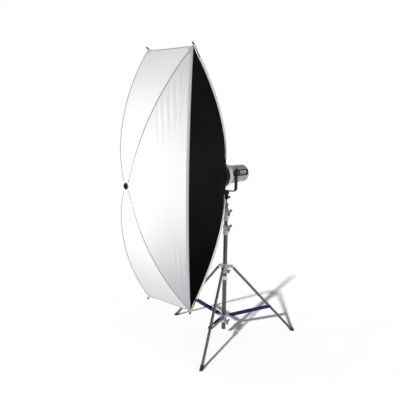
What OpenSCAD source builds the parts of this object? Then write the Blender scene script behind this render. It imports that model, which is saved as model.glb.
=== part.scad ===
// Studio strip softbox on a flash head, carried by a U yoke on a three leg stand.
// The mast stands on the Z axis, the floor is z = 0 and the box looks along -Y.

/* [Softbox] */
// Height between the rim corners
box_h = 1800; // [1500:10:2000]
// Width between the rim corners
box_w = 432; // [380:2:600]
// Depth of the black shell, from the speed ring to the rim
shell_depth = 522; // [420:5:640]
// Depth of the white nose, from the rim to the front hub
nose_depth = 384; // [250:4:450]
// How far the long rim edges are drawn in at the middle
side_bow = 28; // [10:1:45]
// How far the short rim edges are drawn in at the middle
end_bow = 4; // [2:1:25]
// Thickness of the sewn cloth
cloth_t = 1.5; // [1:0.25:2.5]
// Diameter of the back rods
rod_d = 8; // [6:0.5:10]
// Length of rod that sticks out past each corner
tip_len = 24; // [20:1:60]
// Diameter of the white rod sleeves
sleeve_d = 17; // [14:0.5:18]
// Diameter of the front ribs
rib_d = 5; // [4:0.5:7]
// Diameter of the front hub
hub_d = 38; // [30:1:50]
// Width of the pale grommet round the front hub
grommet_w = 8; // [5:0.5:12]
// Place of the inner baffle along the shell, 0 at the ring and 1 at the rim
baffle_at = 0.62; // [0.5:0.01:0.8]

/* [Speed ring] */
// Outer radius of the speed ring
ring_r = 98; // [94:1:110]
// Thickness of the speed ring, and diameter of its rod sockets
ring_w = 18; // [15:0.5:22]
// Radius of the adapter barrel that the ring turns on
adapter_r = 62; // [58:0.5:66]
// Number of round windows in the ring
ring_windows = 12; // [8:4:16]
// Radius of one window
window_r = 8; // [5:0.5:10]

/* [Flash head] */
// Outer radius of the flash body
flash_r = 70; // [66:1:80]
// Length of the flash body behind its front ring
flash_len = 160; // [150:2:240]
// Rounding of the rear edge of the flash body
flash_round = 30; // [15:1:35]
// Length of the black front housing
housing_len = 59; // [50:1:80]
// How far the wide black snout reaches past that housing
snout_len = 70; // [50:1:90]
// Outer radius of the wide black snout
snout_r = 92; // [84:0.5:93]
// Length of the pale front ring
front_ring_len = 18; // [12:1:26]
// Thickness of the rear panel
panel_t = 4; // [3:0.5:6]
// Height of the side grip loop
grip_h = 50; // [44:1:64]
// Length of the side grip, from its front edge to its rear end
grip_len = 164; // [150:2:220]
// Thickness of the side grip
grip_t = 12; // [9:0.5:16]
// Radius of the ring shaped flash tube
tube_ring_r = 38; // [30:1:44]

/* [Yoke and socket] */
// Inside width of the U yoke
yoke_in = 160; // [158:1:190]
// Width of the yoke strap
yoke_w = 32; // [26:1:40]
// Thickness of the yoke strap
yoke_t = 6; // [4:0.5:8]
// Outer bend radius of the yoke corners
yoke_bend = 30; // [15:1:45]
// Height of the tilt pivot above the yoke strap
yoke_rise = 147; // [140:1:180]
// Arm length above the tilt pivot
yoke_top = 34; // [20:1:40]
// Radius of the tilt pivot shafts
pivot_r = 6; // [5:0.5:7]
// Width of the stand socket block
socket_w = 28; // [25:0.5:36]
// Height of the stand socket
socket_h = 68; // [62:1:80]
// Radius of the umbrella shaft hole
umbrella_r = 4.2; // [3.5:0.1:5]

/* [Mast] */
// Gap between the column end and the floor
column_clear = 72; // [50:1:90]
// Length of the base column
column_len = 858; // [820:2:1000]
// Outer diameter of the base column
column_d = 35; // [34:0.5:38]
// Outer diameter of the middle tube
middle_d = 30; // [29:0.5:30.5]
// Outer diameter of the top tube
top_d = 25; // [24:0.5:25.5]
// Wall of the mast tubes
tube_wall = 1.5; // [1:0.1:1.8]
// Height of the clamp on the base column
column_clamp_h = 79; // [70:1:100]
// Height of the clamp on the middle tube
riser_clamp_h = 98; // [80:1:110]
// Length of middle tube that shows between the clamps
middle_show = 38; // [30:1:60]
// Length of top tube that shows under its cap
top_show = 15; // [8:1:30]
// Wall of the cast clamps round their tubes
clamp_wall = 6; // [5:0.5:8]
// Wing span of the clamp knobs
wing_span = 66; // [50:1:72]

/* [Tripod] */
// Height of the leg pivots
leg_pivot_z = 606; // [560:1:640]
// Distance of the leg pivots from the mast
leg_pivot_r = 60; // [56:1:70]
// Distance of the feet from the mast
foot_r = 620; // [540:5:700]
// Direction of the first leg
leg_turn = -65; // [-80:1:-50]
// Outer diameter of the legs
leg_d = 22; // [20:0.5:25]
// Wall of the leg tubes
leg_wall = 1.5; // [1.2:0.1:2]
// Distance from the leg pivot to the brace pivot, along the leg
brace_at = 502; // [460:1:520]
// Distance of the brace pivots on the runner from the mast
brace_pivot_r = 45; // [43:0.5:47]
// Height of the brace pivots on the runner
brace_pivot_z = 183; // [170:1:195]
// Height of the brace channel
brace_h = 20; // [16:0.5:22]
// Plate thickness of the brace channel
brace_t = 3; // [2:0.25:4]
// Height of the sliding runner
runner_h = 66; // [56:1:80]
// Height of the leg collar
collar_h = 80; // [70:1:95]
// Wall of the cast collars
collar_wall = 7; // [6:0.5:8]
// Radius of the pivot bolts
bolt_r = 4; // [3:0.25:4.5]
// Radius of a rubber foot
foot_cap_r = 14; // [13.5:0.25:17]

/* [Clearances] */
// Radial gap of a turning or sliding fit
run_gap = 0.06; // [0.03:0.01:0.1]
// Radial gap of a piece fixed in another
seat_gap = 0.03; // [0.02:0.01:0.05]
// Gap between faces that pass each other
face_gap = 0.3; // [0.25:0.05:0.5]

/* [Hidden] */
$fn = 64;

// Heights up the mast
column_r = column_d / 2;
middle_r = middle_d / 2;
top_r = top_d / 2;
column_top = column_clear + column_len;
column_lip = 25;
column_clamp_top = column_top + column_lip;
riser_clamp_z = column_clamp_top + middle_show;
riser_clamp_top = riser_clamp_z + riser_clamp_h;
riser_lip = 41;
middle_top = riser_clamp_top - riser_lip;
cap_z = riser_clamp_top + top_show;
cap_h = 28;
cap_r = top_r + 4;
neck_z = cap_z + cap_h;
neck_h = 29;
neck_r = 6;
spigot_r = 8;
spigot_h = 42;
socket_z = neck_z + neck_h;
socket_top = socket_z + socket_h;
strap_top = socket_top + yoke_t;
pivot_z = strap_top + yoke_rise;
pivot_lift = 22;
axis_z = pivot_z - pivot_lift;
pivot_y = 12;
plug_len = 58;
middle_z = column_clear + plug_len + face_gap;
middle_floor = 4;
top_z = middle_z + middle_floor + face_gap;

// Places along the optical axis, towards the back
flange_t = 4;
housing_y = pivot_y - 37 - snout_len;
front_ring_y = housing_y + snout_len + housing_len;
flash_y = front_ring_y + front_ring_len;
flash_rear = flash_y + flash_len;
ring_back = housing_y - flange_t - face_gap;
ring_front = ring_back - ring_w;
ring_mid = (ring_back + ring_front) / 2;
panel_recess = 10;
panel_r = flash_r - flash_round + 12;
panel_y = flash_rear - panel_recess;
panel_face = panel_y + panel_t;

// Cloth surfaces of the softbox, measured from the optical axis
half_h = box_h / 2;
half_w = box_w / 2;
apex_r = ring_r - 4;
nose_r = hub_d / 2 + grommet_w - 4;
shell_y = ring_front - face_gap;
rim_y = shell_y - shell_depth;
hub_y = rim_y - nose_depth;
shell_power = 1.7;
nose_power = 2;
nose_side_power = 0.8;
blend_reach = 0.3;
rod_offset = ring_w / 2 + face_gap;
cloth_rows = 14;
cloth_cols = 8;
rim_share = 0.999;

// Stand details
leg_r = leg_d / 2;
leg_angle = atan((foot_r - leg_pivot_r) / leg_pivot_z);
leg_len = leg_pivot_z / cos(leg_angle);
brace_end = [leg_pivot_r + brace_at * sin(leg_angle), leg_pivot_z - brace_at * cos(leg_angle)];
brace_run = brace_end[0] - brace_pivot_r;
brace_lift = brace_end[1] - brace_pivot_z;
brace_len = sqrt(brace_run * brace_run + brace_lift * brace_lift);
brace_angle = atan(brace_lift / brace_run);
brace_in = leg_r + face_gap + 0.1;
lug_r = 8;
runner_top = brace_pivot_z + lug_r + 4.5;
runner_z = runner_top - runner_h;
fold_angle = 5;
fold_end_r = leg_pivot_r + brace_at * sin(fold_angle);
fold_end_z = leg_pivot_z - brace_at * cos(fold_angle);
fold_run = fold_end_r - brace_pivot_r;
fold_pivot_z = fold_end_z + sqrt(brace_len * brace_len - fold_run * fold_run);
runner_travel = fold_pivot_z - brace_pivot_z;
collar_r = column_r + collar_wall;
collar_top = leg_pivot_z + 30;
collar_z = collar_top - collar_h;
stop_z = max(collar_z - 60, runner_top + runner_travel + 3);
stop_h = 34;
stop_r = column_r + 4.5;
knob_turn = leg_turn + 60;
clamp_turn = -15;
tongue_t = 12;
ear_t = 6;
eye_r = bolt_r + 6;

// Frames

module on_axis() {
    translate([0, 0, axis_z]) children();
}

// Local z runs back along the optical axis
module along_y(y = 0) {
    translate([0, y, axis_z]) rotate([-90, 0, 0]) children();
}

// Local x runs out from the mast at height z
module outwards(turn, z) {
    rotate([0, 0, turn]) translate([0, 0, z]) children();
}

module at_leg(k) {
    rotate([0, 0, leg_turn + 120 * k]) children();
}

// Local z runs down the leg from its pivot
module down_leg(k) {
    at_leg(k) translate([leg_pivot_r, 0, leg_pivot_z]) rotate([0, 180 - leg_angle, 0]) children();
}

// Local x runs out along the brace from its runner pivot
module along_brace(k) {
    at_leg(k) translate([brace_pivot_r, 0, brace_pivot_z]) rotate([0, -brace_angle, 0]) children();
}

module ring(r_out, r_in, h) {
    difference() {
        cylinder(r = r_out, h = h);
        translate([0, 0, -1]) cylinder(r = r_in, h = h + 2);
    }
}

module bar_along_x(r, x0, x1) {
    translate([x0, 0, 0]) rotate([0, 90, 0]) cylinder(r = r, h = x1 - x0);
}

module pin_along_y(r, half) {
    translate([0, half, 0]) rotate([90, 0, 0]) cylinder(r = r, h = 2 * half);
}

// Cloth surfaces: s runs from the opening to the rim, v across a panel from -1 to 1

function near_opening(s) = pow(max(0, 1 - s / blend_reach), 3);

function spread(c, edge, s) = c + (edge - c) * s;

function round_out(r, v) = r * (cos(45 * v) - cos(45));

function round_along(r, v) = r * (sin(45 * v) - v * sin(45));

function shell_depth_at(s) = shell_y - shell_depth * pow(s, shell_power);

function nose_depth_at(s) = hub_y + nose_depth * pow(s, nose_power);

function inset(s, bow, v) = bow * s * s * (1 - v * v);

// One cloth panel: w and h are its seam's distances across and along, r its opening
function panel_point(w, h, y, bow, r, s, v) = [
    w - inset(s, bow, v) + near_opening(s) * round_out(r, v),
    y,
    v * h + near_opening(s) * round_along(r, v)
];

function swap_sides(p) = [p[2], p[1], p[0]];

function shell_w(s) = spread(apex_r * cos(45), half_w, s);

function shell_h(s) = spread(apex_r * cos(45), half_h, s);

function nose_w(s) = spread(nose_r * cos(45), half_w, pow(s, nose_side_power));

function nose_h(s) = spread(nose_r * cos(45), half_h, s);

function shell_side(s, v) = panel_point(shell_w(s), shell_h(s), shell_depth_at(s), side_bow, apex_r, s, v);

function shell_end(s, v) =
    swap_sides(panel_point(shell_h(s), shell_w(s), shell_depth_at(s), end_bow, apex_r, s, v));

function nose_side(s, v) = panel_point(nose_w(s), nose_h(s), nose_depth_at(s), side_bow, nose_r, s, v);

function nose_end(s, v) =
    swap_sides(panel_point(nose_h(s), nose_w(s), nose_depth_at(s), end_bow, nose_r, s, v));

// Panel kinds: 0 shell side, 1 shell end, 2 nose side, 3 nose end
function cloth_at(kind, s, v) =
    kind == 0 ? shell_side(s, v) : kind == 1 ? shell_end(s, v) :
    kind == 2 ? nose_side(s, v) : nose_end(s, v);

function seam_reach(kind, s) =
    kind == 0 ? shell_h(s) : kind == 1 ? shell_w(s) : kind == 2 ? nose_h(s) : nose_w(s);

function unit(a) = a / norm(a);

function cloth_normal(kind, s, v) =
    let (e = 0.002)
    let (along = cloth_at(kind, s + e, v) - cloth_at(kind, s - e, v))
    let (across = cloth_at(kind, s, v + e) - cloth_at(kind, s, v - e))
    let (n = unit(cross(along, across)))
    (kind == 0 || kind == 2) ? (n[0] < 0 ? -n : n) : (n[2] < 0 ? -n : n);

// A sewn panel as a closed sheet, cut back at its seams so that neighbours clear
module cloth_panel(kind, outwards_first) {
    rows = cloth_rows;
    cols = cloth_cols;
    seam_cut = cloth_t + face_gap;
    s_first = 0.004;
    places = [for (i = [0 : rows], j = [0 : cols])
        let (s = s_first + (rim_share - (kind < 2 ? 0.001 : 0) - s_first) * i / rows)
        let (v = (2 * j / cols - 1) * (1 - seam_cut / seam_reach(kind, s)))
        [s, v]];
    outer = [for (p = places) cloth_at(kind, p[0], p[1])];
    inner = [for (p = places) cloth_at(kind, p[0], p[1]) - cloth_t * cloth_normal(kind, p[0], p[1])];
    n = len(outer);
    step = cols + 1;
    quads = concat(
        [for (i = [0 : rows - 1], j = [0 : cols - 1])
            [i * step + j, i * step + j + 1, (i + 1) * step + j + 1, (i + 1) * step + j]],
        [for (i = [0 : rows - 1], j = [0 : cols - 1])
            [n + i * step + j, n + (i + 1) * step + j, n + (i + 1) * step + j + 1, n + i * step + j + 1]],
        [for (j = [0 : cols - 1]) [j + 1, j, n + j, n + j + 1]],
        [for (j = [0 : cols - 1])
            let (a = rows * step + j)
            [a, a + 1, n + a + 1, n + a]],
        [for (i = [0 : rows - 1])
            let (a = i * step)
            [a, a + step, n + a + step, n + a]],
        [for (i = [0 : rows - 1])
            let (a = i * step + cols)
            [a + step, a, n + a, n + a + step]]
    );
    faces = [for (q = quads, half = [0, 1])
        half == 0
            ? (outwards_first ? [q[0], q[1], q[2]] : [q[2], q[1], q[0]])
            : (outwards_first ? [q[0], q[2], q[3]] : [q[3], q[2], q[0]])];
    polyhedron(concat(outer, inner), faces);
}

// Centre line of a back rod, outside the shell's seam
function seam_at(s) = [shell_w(s), shell_depth_at(s), shell_h(s)];

function rod_tangent(s) =
    let (e = 0.002)
    unit(seam_at(s + e) - seam_at(max(0, s - e)));

function rod_side(s) = unit(cross(rod_tangent(s), [0, 1, 0]));

function rod_normal(s) =
    let (n = cross(rod_side(s), rod_tangent(s)))
    n[1] < 0 ? -n : n;

function rod_at(s) = seam_at(s) + rod_offset * rod_normal(s);

// The straight root of a rod, in the plane of the ring
function rod_root(along) =
    let (t = rod_tangent(0))
    rod_at(0) + along * unit([t[0], 0, t[2]]);

// Centre line of a front rib, inside the nose's seam
function rib_seam(s) = [nose_w(s), nose_depth_at(s), nose_h(s)];

function rib_out(s) = unit(cloth_normal(2, s, 1) + cloth_normal(3, s, 1));

rib_sink = cloth_t + rib_d / 2 + face_gap + 0.3;

function rib_at(s) = rib_seam(s) - rib_sink / (rib_out(s) * cloth_normal(2, s, 1)) * rib_out(s);

// A round bar or pipe swept along points; r_in 0 makes a solid bar
module sweep_line(points, r_out, r_in, sides) {
    n = len(points);
    tangents = [for (i = [0 : n - 1])
        unit(points[min(n - 1, i + 1)] - points[max(0, i - 1)])];
    side_ways = [for (t = tangents) unit(cross(t, [0, 1, 0]))];
    rings = r_in > 0 ? [r_out, r_in] : [r_out];
    verts = [for (r = rings, i = [0 : n - 1], k = [0 : sides - 1])
        let (up = cross(side_ways[i], tangents[i]))
        let (a = 360 * k / sides)
        points[i] + r * (cos(a) * side_ways[i] + sin(a) * up)];
    shift = n * sides;
    skin = [for (i = [0 : n - 2], k = [0 : sides - 1])
        let (m = (k + 1) % sides)
        [i * sides + k, i * sides + m, (i + 1) * sides + m, (i + 1) * sides + k]];
    bore = [for (q = skin) [q[3] + shift, q[2] + shift, q[1] + shift, q[0] + shift]];
    rim = [for (k = [0 : sides - 1])
        let (m = (k + 1) % sides)
        [m, k, k + shift, m + shift]];
    last = (n - 1) * sides;
    far_rim = [for (k = [0 : sides - 1])
        let (m = (k + 1) % sides)
        [last + k, last + m, last + m + shift, last + k + shift]];
    quads = r_in > 0 ? concat(skin, bore, rim, far_rim) : skin;
    tris = [for (q = quads, half = [0, 1]) half == 0 ? [q[0], q[1], q[2]] : [q[0], q[2], q[3]]];
    caps = r_in > 0 ? [] : concat(
        [for (k = [1 : sides - 2]) [0, k + 1, k]],
        [for (k = [1 : sides - 2]) [last, last + k, last + k + 1]]);
    polyhedron(verts, concat(tris, caps));
}

// Copies in the four corners of the box
module four_corners() {
    for (side = [0, 1], end = [0, 1])
        mirror([side, 0, 0]) mirror([0, 0, end]) children();
}

// Softbox

shell_colour = [0.05, 0.05, 0.055];
nose_colour = [0.93, 0.93, 0.94];
sleeve_colour = [0.88, 0.87, 0.84];

module back_right() {
    color(shell_colour) on_axis() cloth_panel(0, true);
}

module back_left() {
    color(shell_colour) on_axis() mirror([1, 0, 0]) cloth_panel(0, true);
}

module back_top() {
    color(shell_colour) on_axis() cloth_panel(1, false);
}

module back_bottom() {
    color(shell_colour) on_axis() mirror([0, 0, 1]) cloth_panel(1, false);
}

module front_right() {
    color(nose_colour) on_axis() cloth_panel(2, false);
}

module front_left() {
    color(nose_colour) on_axis() mirror([1, 0, 0]) cloth_panel(2, false);
}

module front_top() {
    color(nose_colour) on_axis() cloth_panel(3, true);
}

module front_bottom() {
    color(nose_colour) on_axis() mirror([0, 0, 1]) cloth_panel(3, true);
}

rod_r = rod_d / 2;
rod_socket_in = 34;
rod_socket_out = 22;
rod_rings = 24;

module back_rods() {
    straight = [rod_root(4 - rod_socket_in), rod_root(rod_socket_out + 4)];
    curve = [for (i = [2 : rod_rings]) rod_at(i / rod_rings)];
    tip = rod_at(1) + tip_len * rod_tangent(1);
    color([0.04, 0.04, 0.045]) on_axis() four_corners()
        sweep_line(concat(straight, curve, [tip]), rod_r, 0, 8);
}

module rod_sleeves() {
    first = 3;
    last = rod_rings - 2;
    path = [for (i = [first : last]) rod_at(i / rod_rings)];
    color(sleeve_colour) on_axis() four_corners()
        sweep_line(path, sleeve_d / 2, rod_r + 0.5, 8);
}

module corner_pockets() {
    path = [rod_at(0.965), rod_at(0.98), rod_at(1), rod_at(1) + tip_len * 0.4 * rod_tangent(1)];
    color([0.85, 0.82, 0.76]) on_axis() four_corners()
        sweep_line(path, rod_r + 3.5, rod_r + face_gap, 8);
}

module rod_socket_line(r, from, to) {
    t = rod_tangent(0);
    turn = atan(t[0] / t[2]);
    translate(rod_root(0)) rotate([0, turn, 0]) translate([0, 0, from]) cylinder(r = r, h = to - from);
}

module speed_ring() {
    window_ring = (adapter_r + ring_r) / 2 + 1;
    hub_wall = 7;
    rim_wall = 7;
    plate_t = ring_w - 8;
    color([0.72, 0.73, 0.75]) difference() {
        union() {
            along_y(ring_front) ring(adapter_r + hub_wall, adapter_r + run_gap, ring_w);
            along_y(ring_front) ring(ring_r, ring_r - rim_wall, ring_w);
            along_y(ring_mid - plate_t / 2) ring(ring_r - 1, adapter_r + 1, plate_t);
            on_axis() four_corners() rod_socket_line(ring_w / 2 - 0.8, -rod_socket_in, rod_socket_out);
        }
        along_y(ring_front - 1) cylinder(r = adapter_r + run_gap, h = ring_w + 2);
        for (k = [0 : ring_windows - 1])
            along_y(ring_front - 1) rotate([0, 0, 360 * k / ring_windows])
                translate([window_ring, 0, 0]) cylinder(r = window_r, h = ring_w + 2);
        on_axis() four_corners() rod_socket_line(rod_r + 0.2, -rod_socket_in + 3, rod_socket_out + 1);
    }
}

module front_ribs() {
    first = 0.012;
    last = 0.975;
    rings = 18;
    path = [for (i = [0 : rings]) rib_at(first + (last - first) * pow(i / rings, 1.4))];
    color([0.8, 0.78, 0.74]) on_axis() four_corners()
        sweep_line(path, rib_d / 2, 0, 6);
}

hub_t = 16;
hub_r = hub_d / 2;

module front_hub() {
    dimple_r = hub_r * 0.62;
    dimple = 4;
    front = hub_y - 7;
    color([0.05, 0.05, 0.05]) difference() {
        along_y(front) cylinder(r = hub_r, h = hub_t);
        along_y(front - 1) cylinder(r = dimple_r, h = dimple + 1);
        along_y(front + hub_t - 5) ring(hub_r + 1, hub_r - 4, 6);
    }
}

module hub_grommet() {
    thick = 3;
    front = hub_y - face_gap - thick;
    color([0.83, 0.79, 0.72]) difference() {
        along_y(front) cylinder(r = hub_r + grommet_w, h = thick);
        along_y(front - 1) cylinder(r = hub_r + seat_gap, h = thick + 2);
    }
}

// The baffle follows the shell's inside at one depth
module inner_baffle() {
    s = baffle_at;
    cut = cloth_t + face_gap + 0.6;
    steps = 12;
    sides = [for (j = [0 : steps]) shell_side(s, 2 * j / steps - 1) - [cut, 0, 0]];
    ends = [for (j = [0 : steps]) shell_end(s, 2 * j / steps - 1) - [0, 0, 2 * cut]];
    trim = shell_w(s) - cut;
    high = shell_h(s) - 2 * cut;
    right = [for (p = sides) if (abs(p[2]) < high) [p[0], p[2]]];
    top = [for (j = [0 : steps]) let (p = ends[steps - j]) if (abs(p[0]) < trim) [p[0], p[2]]];
    outline = concat(right, top, [for (p = right) -p], [for (p = top) -p]);
    color([0.9, 0.9, 0.9]) along_y(shell_depth_at(s)) linear_extrude(1.2)
        polygon([for (p = outline) [p[0], -p[1]]]);
}

// Flash head

module adapter_ring() {
    bore = adapter_r - 5;
    front = ring_front - face_gap - flange_t;
    color([0.62, 0.63, 0.65]) difference() {
        union() {
            along_y(front) cylinder(r = adapter_r, h = housing_y - front);
            along_y(front) cylinder(r = adapter_r + 6, h = flange_t);
            along_y(housing_y - flange_t) cylinder(r = adapter_r + 8, h = flange_t);
        }
        along_y(front - 1) cylinder(r = bore, h = housing_y - front + 2);
    }
}

boss_r = pivot_r + 8;
boss_end = yoke_in / 2 - face_gap;
shaft_in = adapter_r - 2;
housing_r = flash_r - 4;

module both_sides() {
    for (side = [0, 1]) mirror([side, 0, 0]) children();
}

module front_housing() {
    tenon_r = flash_r - 20;
    flare_r = yoke_in / 2 - 1;
    full_len = snout_len + housing_len;
    snout_step = 14;
    rim_len = 4;
    neck_len = 9;
    color([0.06, 0.06, 0.065]) difference() {
        union() {
            along_y(housing_y) rotate_extrude()
                polygon([[0, 0], [snout_r - 2, 0], [snout_r, 2], [snout_r, snout_len - snout_step],
                    [flare_r, snout_len + rim_len], [housing_r, full_len - neck_len],
                    [housing_r, full_len], [0, full_len]]);
            along_y(front_ring_y - 1) cylinder(r = tenon_r, h = front_ring_len + 1);
            translate([0, pivot_y, pivot_z]) both_sides() bar_along_x(boss_r, adapter_r - 20, boss_end);
        }
        translate([0, pivot_y, pivot_z]) both_sides()
            bar_along_x(pivot_r + seat_gap, shaft_in, boss_end + 1);
        along_y(housing_y - 1) cylinder(r = tube_ring_r + 12, h = 13);
    }
}

module front_ring() {
    tenon_r = flash_r - 20;
    color([0.78, 0.78, 0.8]) along_y(front_ring_y) difference() {
        union() {
            cylinder(r = flash_r + 2, h = front_ring_len - 5);
            cylinder(r = flash_r - 1, h = front_ring_len);
        }
        translate([0, 0, -1]) cylinder(r = tenon_r + seat_gap, h = front_ring_len + 2);
    }
}

// Places of the controls on the rear panel, across and up
inlet_at = [0, -24];
inlet_w = 30;
inlet_h = 22;
inlet_deep = 15;
dial_at = [-14, 20];
dial_r = 15;
dial_shaft_r = 3;
button_at = [22, 14];
button_r = 5;
button_travel = 2;
rocker_at = [29, -14];
rocker_w = 10;
rocker_h = 18;

// A local frame on the rear panel: x across, y up the panel, z out of it
module on_panel(place, y) {
    translate([place[0], y, axis_z + place[1]]) rotate([-90, 0, 0]) children();
}

module panel_box(place, w, h, y0, y1) {
    translate([place[0] - w / 2, y0, axis_z + place[1] - h / 2]) cube([w, y1 - y0, h]);
}

module rear_cuts(y0, y1, slack) {
    panel_box(inlet_at, inlet_w - 4 + slack, inlet_h - 4 + slack, y0, y1);
    panel_box(rocker_at, rocker_w + 2 * face_gap + slack, rocker_h + 2 * face_gap + slack, y0, y1);
    on_panel(dial_at, y0) cylinder(r = dial_shaft_r + run_gap + slack, h = y1 - y0);
    on_panel(button_at, y0) cylinder(r = button_r + face_gap + slack, h = y1 - y0);
}

module flash_body() {
    vent_count = 9;
    vent_pitch = 7;
    color([0.66, 0.66, 0.76]) difference() {
        along_y(flash_y) rotate_extrude() {
            square([flash_r, flash_len - flash_round]);
            square([flash_r - flash_round, flash_len]);
            intersection() {
                translate([flash_r - flash_round, flash_len - flash_round]) circle(flash_round);
                square([flash_r, flash_len]);
            }
        }
        along_y(panel_y) cylinder(r = panel_r, h = panel_recess + 1);
        rear_cuts(panel_y - inlet_deep, panel_y + 1, 1);
        for (side = [-1, 1], k = [0 : vent_count - 1])
            translate([side * (flash_r - 4), flash_y + 70 + vent_pitch * k, axis_z - 46])
                cube([24, 3, 34], center = true);
    }
}

module rear_panel() {
    color([0.12, 0.12, 0.13]) difference() {
        along_y(panel_y) cylinder(r = panel_r - face_gap, h = panel_t);
        rear_cuts(panel_y - 1, panel_face + 1, 0);
    }
}

module mains_inlet() {
    well_w = inlet_w - 7;
    well_h = inlet_h - 7;
    pin_len = 9;
    back = panel_y - inlet_deep + 1;
    color([0.08, 0.08, 0.08]) {
        difference() {
            union() {
                panel_box(inlet_at, inlet_w - 4.2, inlet_h - 4.2, back, panel_face);
                panel_box(inlet_at, inlet_w, inlet_h, panel_face, panel_face + 2);
            }
            panel_box(inlet_at, well_w, well_h, back + 2, panel_face + 3);
        }
        for (x = [-7, 0, 7])
            panel_box(inlet_at + [x, x == 0 ? 3 : -3], 2, 3.5, back + 1.5, back + 1.5 + pin_len);
    }
}

module power_dial() {
    grip_count = 16;
    dial_h = 13;
    color([0.15, 0.15, 0.16]) difference() {
        union() {
            on_panel(dial_at, panel_face + face_gap) cylinder(r = dial_r, h = dial_h);
            on_panel(dial_at, panel_y - 6) cylinder(r = dial_shaft_r, h = panel_t + 7);
        }
        for (k = [0 : grip_count - 1])
            on_panel(dial_at, panel_face + 3) rotate([0, 0, 360 * k / grip_count])
                translate([dial_r + 0.8, 0, 0]) cylinder(r = 1.6, h = dial_h);
        on_panel(dial_at, panel_face + dial_h - 0.9) translate([-0.8, 3, 0]) cube([1.6, dial_r, 3]);
    }
}

module test_button() {
    color([0.75, 0.2, 0.15])
        on_panel(button_at, panel_y - button_travel - 2) cylinder(r = button_r, h = panel_t + button_travel + 7);
}

// The rocker is a shallow V, pressed down on its lower half
module rocker_switch() {
    proud = 4;
    deep = 4;
    mid = panel_face;
    tilt_h = 2;
    color([0.09, 0.09, 0.09])
        translate([rocker_at[0] - rocker_w / 2, mid, axis_z + rocker_at[1]])
            rotate([90, 0, 90]) linear_extrude(rocker_w)
                polygon([[-deep, -rocker_h / 2 + 3], [tilt_h, -rocker_h / 2 + 0.8],
                    [proud - 1.5, 0], [proud, rocker_h / 2 - 0.8], [-deep, rocker_h / 2 - 3]]);
}

grip_x = yoke_in / 2 + yoke_t + face_gap;
grip_front = pivot_y - 30;
grip_wall = 9;
grip_block = 56;

// Loop outline: 2D x runs back from the grip's front edge, y up from the pivot
module grip_outline(inset_by, from) {
    h = grip_h - 2 * inset_by;
    r_end = h / 2 - 4;
    r_front = 6;
    last = grip_len - inset_by;
    translate([from + r_front, -h / 2]) square([last - r_end - from - r_front, h]);
    translate([from, -h / 2 + r_front]) square([r_front + 1, h - 2 * r_front]);
    for (side = [-1, 1]) {
        translate([from + r_front, side * (h / 2 - r_front)]) circle(r_front);
        translate([last - r_end, side * (h / 2 - r_end)]) circle(r_end);
    }
    translate([last - r_end - 1, -h / 2 + r_end]) square([r_end + 1, h - 2 * r_end]);
}

module side_grip() {
    color([0.03, 0.03, 0.035]) difference() {
        translate([grip_x, grip_front, pivot_z]) rotate([90, 0, 90]) linear_extrude(grip_t) difference() {
            grip_outline(0, 0);
            grip_outline(grip_wall, grip_block);
        }
        translate([0, pivot_y, pivot_z]) bar_along_x(pivot_r + seat_gap, grip_x - 1, grip_x + grip_t + 1);
    }
}

shaft_head = 4;
tilt_knob_h = 22;

module pivot_shafts() {
    near_end = grip_x + grip_t;
    far_end = grip_x + tilt_knob_h - 4;
    color([0.5, 0.5, 0.52]) translate([0, pivot_y, pivot_z]) {
        bar_along_x(pivot_r, shaft_in + 0.5, near_end);
        bar_along_x(pivot_r + 3, near_end, near_end + shaft_head);
        mirror([1, 0, 0]) bar_along_x(pivot_r, shaft_in + 0.5, far_end);
    }
}

module flash_tube() {
    glass_r = 5;
    post_r = 3;
    ring_place = housing_y - 22;
    post_from = housing_y + 12;
    color([0.95, 0.93, 0.85, 0.6]) {
        along_y(ring_place) rotate_extrude() translate([tube_ring_r, 0]) circle(glass_r);
        for (side = [-1, 1])
            along_y(ring_place) translate([side * tube_ring_r, 0, 0])
                cylinder(r = post_r, h = post_from - ring_place);
    }
}

module modelling_lamp() {
    base_r = 13;
    bulb_r = 17;
    base_from = housing_y + 12;
    bulb_at = housing_y - 30;
    color([0.95, 0.95, 0.92, 0.7]) {
        along_y(bulb_at) sphere(bulb_r);
        along_y(bulb_at) cylinder(r = 9, h = base_from - bulb_at);
        along_y(base_from - 14) cylinder(r = base_r, h = 14);
    }
}

// Yoke and stand socket

module yoke_outline(half, low, r) {
    top = yoke_rise + yoke_t + yoke_top;
    for (side = [-1, 1])
        translate([side * (half - r), low + r]) circle(r);
    translate([-half, low + r]) square([2 * half, top - low - r]);
    translate([-half + r, low]) square([2 * half - 2 * r, top - low]);
}

module yoke() {
    half = yoke_in / 2;
    tip_r = yoke_w / 2;
    top = pivot_z + yoke_top;
    color([0.05, 0.05, 0.055]) difference() {
        intersection() {
            translate([0, pivot_y + yoke_w / 2, socket_top]) rotate([90, 0, 0]) linear_extrude(yoke_w)
                difference() {
                    yoke_outline(half + yoke_t, 0, yoke_bend);
                    translate([0, 0]) yoke_outline(half, yoke_t, yoke_bend - yoke_t);
                    translate([-half, yoke_t + yoke_bend]) square([2 * half, 2 * yoke_rise]);
                }
            union() {
                translate([-half - yoke_t - 1, pivot_y - tip_r, socket_top - 1])
                    cube([2 * half + 2 * yoke_t + 2, yoke_w, top - tip_r - socket_top + 1]);
                translate([0, pivot_y, top - tip_r]) bar_along_x(tip_r, -half - yoke_t - 1, half + yoke_t + 1);
            }
        }
        translate([0, pivot_y, pivot_z])
            bar_along_x(pivot_r + run_gap, -half - yoke_t - 1, half + yoke_t + 1);
        yoke_screw_places() translate([0, 0, -1]) cylinder(r = screw_r + seat_gap, h = yoke_t + 2);
    }
}

screw_r = 2.5;
screw_deep = 11;

module yoke_screw_places() {
    gap = umbrella_r + screw_r + 2.5;
    for (side = [-1, 1])
        translate([side * gap, 5, socket_top]) children();
}

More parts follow.
